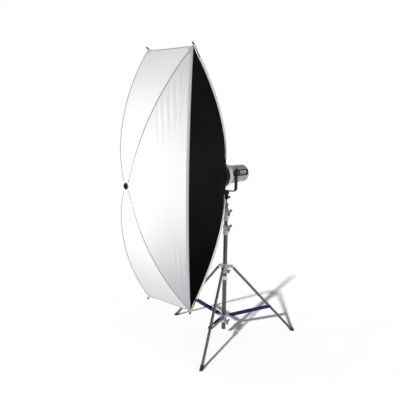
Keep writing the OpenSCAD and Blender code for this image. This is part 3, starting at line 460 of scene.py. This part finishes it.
# %% Hard materials
# One chrome in two tones: the mast's copy is darker, as painted shade, and the legs' copy lighter, as
# painted reflection; the real tubes share one finish.
chrome = chrome_tube("mast_chrome_painted_dark", (0.05, 0.047, 0.045, 1), (0.16, 0.152, 0.149, 1))
leg_chrome_painted_light = chrome_tube("leg_chrome_painted_light", (0.05, 0.047, 0.045, 1), (0.22, 0.208, 0.203, 1))
casting = cast_paint("lavender_casting", (0.40, 0.39, 0.45, 1), (0.68, 0.67, 0.73, 1))
violet = cast_paint("violet_casting", (0.10, 0.085, 0.19, 1), (0.27, 0.25, 0.37, 1))
bright_ring = cast_paint("bright_ring", (0.6, 0.6, 0.63, 1), (0.8, 0.8, 0.82, 1), 0.6, 0.22)
navy = enamel("navy_enamel", (0.009, 0.006, 0.105, 1), (0.04, 0.034, 0.17, 1), 0.3, 0.2)
black_coat = enamel("black_powder_coat", (0.003, 0.003, 0.0034, 1), (0.012, 0.012, 0.014, 1), 0.4, 0.14)
black_plastic = moulded("black_plastic", (0.003, 0.003, 0.0034, 1), (0.009, 0.009, 0.01, 1),
                        rough=0.45, shine=0.14)
housing_plastic = moulded("housing_plastic", (0.004, 0.004, 0.0045, 1), (0.009, 0.009, 0.01, 1),
                          rough=0.6, grain=500.0, shine=0.1)
panel_plastic = moulded("panel_plastic", (0.025, 0.025, 0.028, 1), (0.045, 0.045, 0.05, 1), 0.5)
lamp_case = case_paint()
pale_ring = moulded("pale_ring", (0.58, 0.575, 0.60, 1), (0.68, 0.67, 0.69, 1), 0.3)
red_plastic = moulded("red_plastic", (0.42, 0.03, 0.02, 1), (0.5, 0.06, 0.04, 1), 0.25)
rubber = moulded("foot_rubber", (0.012, 0.012, 0.012, 1), (0.04, 0.04, 0.04, 1), 0.75, 300.0)
rib_fibre = moulded("rib_fibre", (0.55, 0.53, 0.49, 1), (0.65, 0.63, 0.6, 1), 0.5)
bolt_steel = steel("bolt_steel", (0.32, 0.32, 0.34, 1), (0.5, 0.5, 0.52, 1))
dark_steel = steel("dark_steel", (0.07, 0.07, 0.08, 1), (0.16, 0.16, 0.18, 1))
glass = lamp_glass()
sandy_trim = steel("sandy_trim", (0.36, 0.29, 0.19, 1), (0.5, 0.42, 0.3, 1))
print("hard finishes", len(bpy.data.materials))

# %% [markdown]
# ## Dressing the CAD pieces
# The rigid pieces keep their exact CAD shape and only take a material. One table says
# which piece has which finish, so that nothing is forgotten.

# %% Finishes of the rigid pieces
finish_of = {
    "speed_ring": black_coat, "adapter_ring": black_coat, "front_hub": black_plastic,
    "front_ribs": rib_fibre, "front_housing": housing_plastic, "front_ring": pale_ring,
    "flash_body": lamp_case, "rear_panel": panel_plastic, "side_grip": black_plastic,
    "pivot_shafts": dark_steel, "flash_tube": glass, "modelling_lamp": glass,
    "mains_inlet": black_plastic, "power_dial": black_plastic, "test_button": red_plastic,
    "rocker_switch": black_plastic, "stand_socket": black_coat, "yoke": black_coat,
    "yoke_screws": bolt_steel, "socket_lock_knob": dark_steel, "tilt_lock_knob": black_plastic,
    "base_column": chrome, "column_plug": black_plastic, "column_clamp": casting,
    "column_clamp_knob": violet, "leg_collar": casting, "leg_collar_knob": violet,
    "stop_ring": bright_ring, "leg_pivot_bolts": bolt_steel, "runner": casting,
    "runner_knob": violet, "runner_bolts": bolt_steel, "middle_tube": chrome,
    "riser_clamp": casting, "riser_clamp_knob": violet, "top_tube": chrome,
    "top_fitting": dark_steel,
}
for leg in (1, 2, 3):
    finish_of[f"leg_tube_{leg}"] = leg_chrome_painted_light
    finish_of[f"leg_foot_{leg}"] = rubber
    finish_of[f"brace_{leg}"] = navy


def dress(obj, material):
    """Gives an object one material in its first slot."""
    if not obj.material_slots:
        obj.data.materials.append(material)
    for slot in obj.material_slots:
        slot.link = "OBJECT"
        slot.material = material


for node, material in finish_of.items():
    dress(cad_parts[node], material)
print("dressed", len(finish_of), "rigid pieces")

# %% [markdown]
# ## The cut of the softbox
# Both halves of the box are four panels that meet in curved seams. A point of a panel
# has two numbers: s runs from the opening (the ring behind, the hub in front) to the
# rim, and v runs across the panel from seam to seam. The seam lines are simple powers
# of s, the rim edges are drawn in by a parabola, and near the opening the square
# becomes a circle. These are the same formulas as in the CAD source.

# %% Panel surfaces
AXIS = 1.362
SHELL_Y, SHELL_DEEP, SHELL_POWER, SHELL_OPEN = -0.1176, 0.522, 1.7, 0.094
HUB_Y, NOSE_DEEP, NOSE_POWER, NOSE_SIDE_POWER, NOSE_OPEN = -1.0236, 0.384, 2.0, 0.8, 0.023
HALF_W, HALF_H = 0.216, 0.900
SIDE_BOW, END_BOW = 0.028, 0.004
ROUND_REACH = 0.3
ROUND_45 = math.cos(math.pi / 4)


def seam(part, s):
    """Seam of the shell or the nose at s: distances across, along the axis, and up."""
    if part == "shell":
        c = SHELL_OPEN * ROUND_45
        return c + (HALF_W - c) * s, SHELL_Y - SHELL_DEEP * s ** SHELL_POWER, c + (HALF_H - c) * s
    c = NOSE_OPEN * ROUND_45
    wide = c + (HALF_W - c) * s ** NOSE_SIDE_POWER
    return wide, HUB_Y + NOSE_DEEP * s ** NOSE_POWER, c + (HALF_H - c) * s


def panel(part, place, s, v):
    """Panel point: seam distance less the drawn-in edge, plus the round opening that fades with s."""
    across, y, up = seam(part, s)
    opening = SHELL_OPEN if part == "shell" else NOSE_OPEN
    near = np.clip(1 - s / ROUND_REACH, 0, 1) ** 3
    out_round = near * opening * (np.cos(np.pi / 4 * v) - ROUND_45)
    along_round = near * opening * (np.sin(np.pi / 4 * v) - v * ROUND_45)
    y = y + 0 * v
    if place in ("right", "left"):
        x = across - SIDE_BOW * s * s * (1 - v * v) + out_round
        z = v * up + along_round
        x = x if place == "right" else -x
    else:
        z = up - END_BOW * s * s * (1 - v * v) + out_round
        x = v * across + along_round
        z = z if place == "top" else -z
    return np.stack([x, y, z + AXIS], -1)


def outward(part, place, s, v, e=1e-3):
    """Unit normal from two small steps over the panel, turned to face out of the box."""
    ds = panel(part, place, s + e, v) - panel(part, place, s - e, v)
    dv = panel(part, place, s, v + e) - panel(part, place, s, v - e)
    n = unit(np.cross(ds, dv))
    sign = {"right": n[..., :1], "left": -n[..., :1], "top": n[..., 2:], "bottom": -n[..., 2:]}[place]
    return n * np.where(sign < 0, -1.0, 1.0)


print("rim corner at", np.round(panel("nose", "right", np.array(1.0), np.array(1.0)), 4))

# %% [markdown]
# ## The panels themselves
# Stretched cloth is never quite smooth. Tension makes long shallow folds that run from
# the corners and the ring into the sheet, deepest a little way in and gone at the seams.
# A cloth simulation could find them, but these sheets are pulled tight on all edges, so
# a few sine folds with a fading envelope give the same look and hold the seams exactly.

# %% Cloth panels
SEAM_CUT = 0.0018
FOLD_COUNT = 5
rng = np.random.default_rng(7)


def fade(distance, over):
    """0 at an edge, rising to 1 at this distance from it."""
    return np.clip(distance / over, 0, 1)


def fold_patch(s, v, at, reach, waves, deep):
    """Folds in one place: a sine with so many waves per s and v, under a bell at (s, v)."""
    bell = np.exp(-((s - at[0]) / reach[0]) ** 2 - ((v - at[1]) / reach[1]) ** 2)
    return deep * bell * np.sin(2 * np.pi * (waves[0] * s + waves[1] * v))


def folds(part, place, s, v):
    """Height of the tension folds: sines across v that lean with s, faded at every edge."""
    height = np.zeros_like(s)
    for wide in rng.uniform(2.0, 5.5, FOLD_COUNT):
        lean = rng.uniform(-2.5, 2.5)
        start = rng.uniform(0, 2 * np.pi)
        reach = rng.uniform(0.3, 0.85)
        swell = np.exp(-((s - reach) / 0.28) ** 2)
        height += np.sin(np.pi * wide * v + lean * s + start) * swell * rng.uniform(0.0005, 0.0013)
    height *= (1 - v * v) ** 1.2 * fade(s, 0.25) * fade(1 - s, 0.12)
    if part == "nose" and place in ("right", "left"):
        hanging = fold_patch(s, v, (0.70, 0.74), (0.17, 0.20), (13.2, 0.9), 0.0030)
        pulled = fold_patch(s, v, (0.90, 0.62), (0.06, 0.16), (17.0, -3.0), 0.0014)
        low = fold_patch(s, v, (0.88, -0.66), (0.08, 0.15), (16.0, 1.5), 0.0014)
        height += hanging * fade(1 - v, 0.12) * fade(1 - s, 0.1) + (pulled + low) * fade(1 - s, 0.05)
    return height


def cloth_panel(part, place, rows=96, cols=96):
    """One sewn panel as a fine sheet, cut back a thread's width at its seams."""
    s = np.linspace(0.004, 0.999, rows)[:, None] + np.zeros((1, cols))
    across, _, up = seam(part, s)
    reach = up if place in ("right", "left") else across
    v = np.linspace(-1, 1, cols)[None, :] * (1 - SEAM_CUT / reach)
    normal = outward(part, place, s, v)
    points = panel(part, place, s, v) + folds(part, place, s, v)[..., None] * normal
    quads = grid_quads(rows, cols, flip=faces_in(points, normal))
    name = ("shell_" if part == "shell" else "front_") + place + "_cloth"
    obj = make_mesh(name, points.reshape(-1, 3), quads, np.stack([v * reach, s], -1).reshape(-1, 2))
    white = front_cloth if place in ("right", "left") else end_cloth
    dress(obj, shell_cloth if part == "shell" else white)
    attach(obj, "softbox")
    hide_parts(("back_" if part == "shell" else "front_") + place)
    "black_cloth" if part == "shell" else "white_cloth"
    return obj


def cut_of(obj):
    """Area of a sheet in square metres, from its own faces."""
    area = np.empty(len(obj.data.polygons))
    obj.data.polygons.foreach_get("area", area)
    return float(area.sum())


sheets = {}
for part in ("shell", "nose"):
    for place in ("right", "left", "top", "bottom"):
        sheets[part, place] = cloth_panel(part, place)
print({o.name: round(cut_of(o), 3) for o in sheets.values()})

# %% [markdown]
# ## Hems
# Along the rim a folded tape binds the white front to the black shell. On the long edges
# it lies on the front for 21 mm, on the short ones for 8 mm, and then it turns over the
# edge. Extruding a curve would not follow the bowed cloth, so the tape is a strip of the
# same panel functions, lifted a millimetre or so along the outward normal.

# %% Hem strips
# Metres of the front and of the shell per unit of s at the rim.
RIM_RUN = {"right": (0.784, 1.105), "left": (0.784, 1.105), "top": (1.168, 1.374), "bottom": (1.168, 1.374)}
# Just short of a seam or of the rim, in v or s.
NEAR_EDGE = 0.9985


def strip_object(name, table, normal, material):
    """A strip from tables of points and normals: UV runs along it in metres and 0 to 1 across."""
    rows, cols = table.shape[:2]
    along = run_along(table[:, cols // 2])
    cut = np.stack(np.broadcast_arrays(along[:, None], np.linspace(0, 1, cols)[None, :]), -1)
    quads = grid_quads(rows, cols, flip=faces_in(table, normal))
    obj = make_mesh(name, table.reshape(-1, 3), quads, cut.reshape(-1, 2))
    dress(obj, material)
    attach(obj, "softbox")
    return obj


def rim_hem(place, wide, over, material, rows=180):
    """The folded tape of one rim edge: on the front cloth first, then over onto the shell."""
    front_run, shell_run = RIM_RUN[place]
    halves = (("nose", np.array([1.0, 0.75, 0.5, 0.25, 0.06]) * wide / front_run,
               np.array([0.0004, 0.0011, 0.0013, 0.0013, 0.0016])),
              ("shell", np.array([0.08, 0.55, 1.0]) * over / shell_run,
               np.array([0.0016, 0.0012, 0.0004])))
    along = np.linspace(-NEAR_EDGE, NEAR_EDGE, rows)[:, None]
    tables = []
    for part, from_rim, lift in halves:
        s, v = np.broadcast_arrays(1 - from_rim[None], along)
        tables.append(panel(part, place, s, v) + lift[None, :, None] * outward(part, place, s, v))
    table = np.concatenate(tables, 1)
    normal = outward("nose", place, np.full(table.shape[:2], 0.97), np.broadcast_to(along, table.shape[:2]))
    return strip_object("hem_" + place, table, normal, material)


hems = {place: rim_hem(place, 0.021, 0.007, hem_tape) for place in ("right", "left")}
hems |= {place: rim_hem(place, 0.008, 0.006, seam_tape) for place in ("top", "bottom")}
print("hems", [o.name for o in hems.values()])

# %% [markdown]
# ## Seam tapes
# Along each front seam a narrow tape covers the join over the rib, so it stands up a
# little in the middle. A round curve would look like a cord. A strip with two points on
# each panel and one crest between them lies flat and stays on the seam.

# %% Seam tapes
def front_seam(side, end, half=0.0052, crest_lift=0.0022, rows=150):
    """Tape over one front seam: five points across, highest over the rib."""
    s = np.linspace(0.012, 0.994, rows)[:, None]
    across, _, up = seam("nose", s)
    share = np.array([1.0, 0.5])
    lift = np.array([0.0005, 0.0016])
    v_end = 1.0 if end == "top" else -1.0
    v_side = 1.0 if side == "right" else -1.0
    va = v_end * (1 - share[None] * half / up)
    vb = v_side * (1 - share[None, ::-1] * half / across)
    full = s + 0 * va
    na = outward("nose", side, full, va)
    nb = outward("nose", end, full, vb)
    between = unit(na[:, -1:] + nb[:, :1])
    a = panel("nose", side, full, va) + lift[None, :, None] * na
    b = panel("nose", end, full, vb) + lift[None, ::-1, None] * nb
    crest = panel("nose", side, s, v_end + 0 * s) + crest_lift * between
    table = np.concatenate([a, crest, b], 1)
    normal = np.concatenate([na, between, nb], 1)
    return strip_object(f"seam_tape_{end}_{side}", table, normal, seam_tape)


tapes = [front_seam(side, end) for side in ("right", "left") for end in ("top", "bottom")]
print("seam tapes", [o.name for o in tapes])

# %% [markdown]
# ## Rods, sleeves and pockets
# Four sprung rods bend from the ring to the corners. Each lies outside the shell in a
# white sleeve and pokes through a pale pocket at its corner. All three follow one line,
# the same as in CAD, so we work out that line for one corner, sweep a ring of points
# along it and mirror the result to the other three.

# %% Rod line
ROD_OFF = 0.0093
corners = [(1, 1), (-1, 1), (1, -1), (-1, -1)]


def rod_line(s):
    """Rod centre: the shell's seam moved out along the normal that lies in the rod's plane."""
    e = 2e-3
    point = np.stack(seam("shell", s), -1)
    ahead = np.stack(seam("shell", s + e), -1)
    behind = np.stack(seam("shell", np.maximum(0, s - e)), -1)
    tangent = unit(ahead - behind)
    side = unit(np.cross(tangent, [0.0, 1.0, 0.0]))
    n = np.cross(side, tangent)
    n *= np.where(n[:, 1:2] < 0, -1.0, 1.0)
    return point + ROD_OFF * n, tangent


def at_corner(points, sx, sz):
    """A line for the top right corner mirrored to another corner, at the height of the axis."""
    return points * np.array([sx, 1.0, sz]) + np.array([0.0, 0.0, AXIS])


def swept(name, path, radius, sides, node, material):
    """One object of four sweeps: a path with its radius, mirrored to each rim corner."""
    points, quads, cuts, count = [], [], [], 0
    for corner in corners:
        line = at_corner(path, *corner)
        table = sweep_table(line, radius, sides)
        flip = faces_in(table, table - table.mean(1, keepdims=True))
        cut = np.stack(np.broadcast_arrays(run_along(line)[:, None], np.arange(sides)[None] / sides), -1)
        points.append(table.reshape(-1, 3))
        quads.append(grid_quads(len(line), sides, wrap=True, flip=flip, start=count))
        cuts.append(cut.reshape(-1, 2))
        count += len(line) * sides
    obj = make_mesh(name, np.concatenate(points), np.concatenate(quads), np.concatenate(cuts))
    dress(obj, material)
    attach(obj, "softbox")
    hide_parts(node)
    return obj


rod_curve, rod_tangent = rod_line(np.linspace(0.06, 1, 90))
print("curved part of a rod", round(float(run_along(rod_curve)[-1]), 3), "m")

# %% [markdown]
# The rods are black fibre, straight where they sit in the ring's sockets and a little
# thicker at their tips. A bevelled curve could do this as well. The sweep takes one radius
# for each ring of points, so the thicker tip and the closed ends come for free.

# %% Rods
ROD_RADIUS, TIP_RADIUS, TIP_POINTS = 0.004, 0.0055, 11
TIP_ROUND = (0.0052, 0.0043, 0.0026, 0.0)
tip = rod_curve[-1:] + np.linspace(0.004, 0.024, TIP_POINTS)[:, None] * rod_tangent[-1:]
first, lean = rod_line(np.array([0.0]))
lean = unit(lean * [1.0, 0.0, 1.0])
root = first + np.concatenate([[-0.0302], np.linspace(-0.030, 0.026, 8)])[:, None] * lean
rod_path = np.concatenate([root, rod_curve, tip])
rod_radius = np.full(len(rod_path), ROD_RADIUS)
rod_radius[-TIP_POINTS:] = TIP_RADIUS
rod_radius[-len(TIP_ROUND):] = TIP_ROUND
rod_radius[0] = 0.0
rods = swept("sprung_rods", rod_path, rod_radius, 18, "back_rods", black_coat)
weld(rods)
print("rods", len(rods.data.vertices), "points")

# %% [markdown]
# A sleeve is a loose tube of white cloth round its rod. Two sines of different length let
# its radius waver, and it gathers at both ends. A pocket is a short pale bag that closes
# over the rod near the tip, so its radius swells and shrinks once.

# %% Sleeves and pockets
SLEEVE_RADIUS, SLEEVE_WAVER, SLEEVE_GATHER = 0.0080, 0.0005, 0.0024
POCKET_RADIUS, POCKET_SWELL = 0.0050, 0.0036
sleeve_path, _ = rod_line(np.linspace(0.125, 0.917, 160))
t = np.linspace(0, 1, len(sleeve_path))
gathered = np.exp(-t * 60) + np.exp(-(1 - t) * 60)
sleeve_radius = SLEEVE_RADIUS + SLEEVE_WAVER * np.sin(t * 61) * np.sin(t * 17) - SLEEVE_GATHER * gathered
sleeves = swept("rod_sleeve_cloth", sleeve_path, sleeve_radius, 20, "rod_sleeves", sleeve_cloth)
pocket_line, _ = rod_line(np.linspace(0.962, 1, 16))
pocket_end = rod_curve[-1:] + np.linspace(0.002, 0.0096, 6)[:, None] * rod_tangent[-1:]
pocket_path = np.concatenate([pocket_line, pocket_end])
u = np.linspace(0, 1, len(pocket_path))
pocket_radius = POCKET_RADIUS + POCKET_SWELL * np.sin(np.pi * np.clip(u * 1.15, 0, 1)) ** 0.6
pockets = swept("corner_pocket_cloth", pocket_path, pocket_radius, 20, "corner_pockets", pocket_cloth)
print("sleeves and pockets", len(sleeves.data.polygons) + len(pockets.data.polygons), "faces")

# %% [markdown]
# Each rim corner takes the pull of a rod, so a doubled patch of sandy cloth is sewn over
# it. The patch is the corner of the front panel again, lifted by the cloth's thickness,
# with its inner edge cut in a curve.

# %% Corner patches
PATCH_LIFT = 0.0019


def corner_patch(side, end, reach=0.048, n=14):
    """A patch on both panels that meet in a corner: s and v shrink towards the seam's end."""
    made = []
    for place, other, size in ((side, end, HALF_H), (end, side, HALF_W)):
        sign = 1.0 if other in ("top", "right") else -1.0
        a = np.linspace(0, 1, n)[:, None] + np.zeros((1, n))
        b = np.linspace(0, 1, n)[None, :] + np.zeros((n, 1))
        s = NEAR_EDGE - a * reach / RIM_RUN[place][0] * (1 - 0.45 * b)
        v = sign * (1 - (0.0012 + b * reach * 0.8 * (1 - 0.4 * a)) / size)
        normal = outward("nose", place, s, v)
        table = panel("nose", place, s, v) + PATCH_LIFT * normal
        made.append(strip_object(f"corner_patch_{end}_{side}_{place}", table, normal, pocket_cloth))
    return made


patches = [p for side in ("right", "left") for end in ("top", "bottom") for p in corner_patch(side, end)]
print("corner patches", len(patches))

# %% [markdown]
# ## Hub ring
# The ribs meet in a black hub, and a padded sandy ring is sewn round it. A torus would be
# too round: the ring is an ellipse carried round the axis, with 24 low waves where the
# stitches pull it in.

# %% Hub ring
# Metres of the ring per radian, so that its stitches keep their length.
RING_RUN = 0.023


def hub_ring(inner=0.0194, outer=0.0268, thick=0.0028, sides=72, around=14):
    """A flattened ring: an ellipse of width outer - inner carried round the optical axis."""
    a = np.linspace(0, 2 * np.pi, sides, endpoint=False)[:, None]
    b = np.linspace(0, 2 * np.pi, around, endpoint=False)[None, :]
    r = (inner + outer) / 2 + (outer - inner) / 2 * np.cos(b)
    y = HUB_Y - 0.0019 - thick / 2 * np.sin(b) * (1 + 0.12 * np.cos(a * 24))
    table = np.stack(np.broadcast_arrays(r * np.cos(a), y, r * np.sin(a) + AXIS), -1)
    cut = np.stack(np.broadcast_arrays(a * RING_RUN, b / (2 * np.pi)), -1).reshape(-1, 2)
    obj = make_mesh("hub_ring_cloth", table.reshape(-1, 3), closed_quads(sides, around), cut)
    dress(obj, pocket_cloth)
    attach(obj, "softbox")
    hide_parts("hub_grommet")
    return obj


ring_cloth = hub_ring()
print("hub ring", len(ring_cloth.data.polygons), "faces")

# %% [markdown]
# ## Inner baffle
# Inside the shell hangs a second diffuser, a flat cloth that sags a little in the middle.
# The closed front hides it, but the real box has it. It spans the shell at one depth, so
# its edges come from the panel formulas, less a small gap.

# %% Inner baffle
BAFFLE_AT, BAFFLE_SAG = 0.62, 0.006
SIDE_GAP, END_GAP = 0.0028, 0.006


def inner_baffle(rows=60, cols=24):
    """A flat sheet between the shell's panels at one depth, sagging forward in the middle."""
    s = BAFFLE_AT
    across, y, up = seam("shell", s)
    v = np.linspace(-1, 1, rows)[:, None]
    w = np.linspace(-1, 1, cols)[None, :]
    x = w * (across - SIDE_GAP - SIDE_BOW * s * s * (1 - v * v))
    z = v * (up - END_GAP - END_BOW * s * s * (1 - w * w))
    sag = BAFFLE_SAG * (1 - v * v) * (1 - w * w)
    table = np.stack([x, y - sag, z + AXIS], -1)
    obj = make_mesh("baffle_cloth", table.reshape(-1, 3), grid_quads(rows, cols),
                    np.stack([x, z], -1).reshape(-1, 2))
    dress(obj, front_cloth)
    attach(obj, "softbox")
    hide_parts("inner_baffle")
    return obj


baffle = inner_baffle()
print("baffle", round(cut_of(baffle), 3), "square metres")

# %% [markdown]
# ## Sheet areas
# The panels are stretched between rods and ribs, so the cut is their own area, inside the
# rectangle of cloth they came from. The area of each sheet and of the baffle is worked out here.

for (part, place), obj in sheets.items():
    held_by = ["sprung_rods", "speed_ring"] if part == "shell" else ["front_ribs", "front_hub"]
    extra = [hems[place]] if part == "nose" else []
    cut_of(obj)
cut_of(baffle)
print("declared", len(sheets) + 1, "sheets")

# %% [markdown]
# ## Small things on the flash head
# The front of the housing is pale behind its black flare, with a thin sandy line between.
# Both are shallow bands that hug the cone, so each is one profile turned round the axis.
# The dial on the back has a ring of tick marks on the panel. They could be a pattern in the
# panel's material, but eleven thin bars are simpler and stay sharp from near.

# %% Trim ring and dial marks
CONE_Y, CONE_R = (-0.039, -0.021, 0.025), (0.092, 0.079, 0.066)


def lathe(name, profile, sides=96):
    """A profile of (radius, y) turned round the optical axis."""
    a = np.linspace(0, 2 * np.pi, sides, endpoint=False)[:, None]
    r, y = profile.T[:, None]
    table = np.stack(np.broadcast_arrays(r * np.cos(a), y, r * np.sin(a) + AXIS), -1)
    return make_mesh(name, table.reshape(-1, 3), closed_quads(sides, len(profile)))


def cone_radius(y):
    """Radius of the black housing's cone at y, from its flare down to its neck."""
    return np.interp(y, CONE_Y, CONE_R)


def cone_band(name, front, back, thick, material):
    """A band that hugs the cone from front to back, thick at its middle and thin at both edges."""
    y = np.linspace(front, back, 25)
    lift = thick * np.clip(np.minimum(y - front, back - y) / 0.002, 0.2, 1)
    outside = np.stack([cone_radius(y) + lift, y], -1)
    inside = np.stack([cone_radius(y) - 0.0008, y], -1)[::-1]
    obj = lathe(name, np.concatenate([outside, inside]))
    dress(obj, material)
    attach(obj, "lamp")
    return obj


band = cone_band("pale_front_band", -0.066, 0.0332, 0.0016, pale_ring)
trim = cone_band("front_trim_ring", -0.0725, -0.0662, 0.0018, sandy_trim)


def dial_marks(centre=(-0.014, 0.020), inner=0.0175, outer=0.0205, count=11):
    """Bars on the panel at equal angles round the dial, each a thin box."""
    a = np.radians(np.linspace(-140, 140, count))[:, None, None]
    along = np.array([inner, outer])[None, :, None]
    wide = np.array([-0.0004, 0.0004])[None, None, :]
    x = centre[0] + along * np.sin(a) + wide * np.cos(a)
    z = centre[1] + along * np.cos(a) - wide * np.sin(a)
    flat = np.stack([x, 0 * x, z], -1)
    face = float(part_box("rear_panel")[1][1])
    low, high = flat + [0, face - 0.0002, AXIS], flat + [0, face + 0.0003, AXIS]
    points = np.concatenate([low.reshape(count, 4, 3), high.reshape(count, 4, 3)], 1).reshape(-1, 3)
    box = np.array([[0, 1, 3, 2], [4, 6, 7, 5], [0, 4, 5, 1], [2, 3, 7, 6], [0, 2, 6, 4], [1, 5, 7, 3]])
    quads = (np.arange(count)[:, None, None] * 8 + box[None]).reshape(-1, 4)
    obj = make_mesh("dial_marks", points, quads)
    obj.data.polygons.foreach_set("use_smooth", np.zeros(len(obj.data.polygons), dtype=bool))
    dress(obj, pale_ring)
    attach(obj, "lamp")
    return obj


marks = dial_marks()
print(band.name, trim.name, "and", len(marks.data.polygons) // 6, "dial marks")

# %% [markdown]
# ## Floor
# The picture is a plain studio shot on white, so the floor is a large pale sheet. Near the
# stand it is lit and takes the shadow, and further out it goes over into plain white.
# Mirrors and glass show the same white as the camera does: the Light Path node tells their
# rays from the light that travels between surfaces.

# %% Floor
FLOOR_SIZE, LIT_REACH, WHITE_REACH = 60.0, 1.3, 3.2


def to_camera(wire):
    """1 for what the camera sees directly, in a mirror or through glass; 0 for light on its way."""
    rays = wire.add("ShaderNodeLightPath", {}, out="Is Camera Ray")
    mirrored = rays.math("MAXIMUM", rays.out("Is Glossy Ray"), rays.out("Is Transmission Ray"))
    return rays.math("MAXIMUM", rays, mirrored)


def pale_floor():
    """A square sheet on z = 0: it takes the shadow near the object and is plain white further out."""
    square = np.array([[-1, -1, 0], [1, -1, 0], [1, 1, 0], [-1, 1, 0]], float)
    obj = make_mesh("studio_floor", square * FLOOR_SIZE / 2, np.array([[0, 1, 2, 3]]))
    f = Finish("pale_floor", Roughness=0.9, Specular_IOR_Level=0.05)
    x, y, _ = parts_of(f.at)
    soft = noise(f.at, 3.0)
    f.feed(Base_Color=mix(soft, (0.73, 0.73, 0.73, 1), (0.75, 0.75, 0.75, 1)))
    far = steps((x * x + y * y) ** 0.5, LIT_REACH, WHITE_REACH)
    white = f.at.add("ShaderNodeEmission", {"Color": (1, 1, 1, 1), "Strength": 1.0})
    lit = Wire(f.at.tree, f.shader.outputs[0])
    both = f.at.add("ShaderNodeMixShader", {0: to_camera(f.at) * far, 1: lit, 2: white})
    f.at.tree.links.new(both.socket, f.at.tree.nodes["Material Output"].inputs["Surface"])
    dress(obj, f.material)
    return obj


floor = pale_floor()
print("floor", FLOOR_SIZE, "m wide")

# %% [markdown]
# ## World
# A white room sends a little light from everywhere. An image of a studio could stand for
# it, but one white Background node does: weak where it lights the object, and at full
# strength where the camera, a mirror or glass looks at it.

# %% World
WORLD_FILL = 0.3
scene = bpy.context.scene
scene.world = bpy.data.worlds.new("studio")
scene.world.use_nodes = True
tree = scene.world.node_tree
background = tree.nodes["Background"]
background.inputs["Color"].default_value = (1, 1, 1, 1)
strength = to_camera(Wire(tree, None)) * (1.0 - WORLD_FILL) + WORLD_FILL
tree.links.new(strength.socket, background.inputs["Strength"])
print("world fill", WORLD_FILL)

# %% [markdown]
# ## Lamps
# The key light comes low from the front. As in a real studio the floor has a lamp of its
# own, from the same side: it throws the shadow of the tripod and its column to the back
# right, and it passes over the softbox, the flash head and the risers, which throw none in
# the photograph. Light linking does this: each lamp has a list of what it lights and a
# list of what blocks it.

# %% Lamps
LIGHT_FROM = (0.227, -0.868, 0.442)
CARRIED_NODES = (
    "speed_ring", "front_hub", "front_ribs", "adapter_ring", "front_housing", "front_ring", "flash_body",
    "rear_panel", "power_dial", "test_button", "rocker_switch", "mains_inlet", "side_grip", "pivot_shafts",
    "flash_tube", "modelling_lamp", "yoke", "yoke_screws", "stand_socket", "socket_lock_knob",
    "tilt_lock_knob", "top_fitting", "top_tube", "riser_clamp", "riser_clamp_knob", "middle_tube",
    "column_clamp", "column_clamp_knob",
)


def sun_light(name, toward, soft, strength):
    """A far lamp that shines from the given direction; soft is the angle of its disc in degrees."""
    data = bpy.data.lights.new(name, "SUN")
    data.angle = math.radians(soft)
    data.energy = strength
    obj = bpy.data.objects.new(name, data)
    scene.collection.objects.link(obj)
    x, y, z = toward
    obj.rotation_euler = (math.acos(z / math.hypot(x, y, z)), 0, math.atan2(y, x) + math.pi / 2)
    return obj


def linked(name, pieces, state):
    """A group of pieces that a lamp lights or is blocked by (INCLUDE), or passes over (EXCLUDE)."""
    group = bpy.data.collections.new(name)
    for piece in pieces:
        group.objects.link(piece)
    for entry in group.collection_objects:
        entry.light_linking.link_state = state
    return group


carried = [*sheets.values(), *hems.values(), *tapes, *patches, rods, sleeves, pockets, ring_cloth, baffle,
           band, trim, marks]
carried += [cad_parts[node] for node in CARRIED_NODES]
key = sun_light("key", LIGHT_FROM, soft=5.0, strength=2.05)
key.light_linking.receiver_collection = linked("not_the_floor", [floor], "EXCLUDE")
floor_lamp = sun_light("floor_lamp", LIGHT_FROM, soft=2.6, strength=7.47)
floor_lamp.light_linking.receiver_collection = linked("only_the_floor", [floor], "INCLUDE")
floor_lamp.light_linking.blocker_collection = linked("not_what_it_carries", carried, "EXCLUDE")
print("lights", key.name, floor_lamp.name)

# %% [markdown]
# ## Camera
# The camera stands where the picture was taken from. Its place, turn and focal length come
# from a fit to the corners of the box, the hub and the feet. The focal length is known in
# pixels of a picture 416 wide, so the sensor's width turns it into millimetres.

# %% Camera
EYE = (2.5676, -3.1291, 1.8132)
YAW, PITCH, ROLL = math.radians(41.446), math.radians(10.126), math.radians(0.988)
FOCAL_PIXELS, IMAGE_PIXELS, SENSOR = 511.73, 416, 36.0
cam_data = bpy.data.cameras.new("camera")
cam_data.sensor_width = SENSOR
cam_data.sensor_fit = "HORIZONTAL"
cam_data.lens = FOCAL_PIXELS / IMAGE_PIXELS * SENSOR
camera = bpy.data.objects.new("camera", cam_data)
scene.collection.objects.link(camera)
camera.location = EYE
aim = Matrix.Rotation(YAW, 3, "Z") @ Matrix.Rotation(math.pi / 2 - PITCH, 3, "X")
camera.rotation_euler = (aim @ Matrix.Rotation(ROLL, 3, "Z")).to_euler()
scene.camera = camera
scene.view_settings.view_transform = "Standard"
print("camera lens", round(cam_data.lens, 2), "mm")
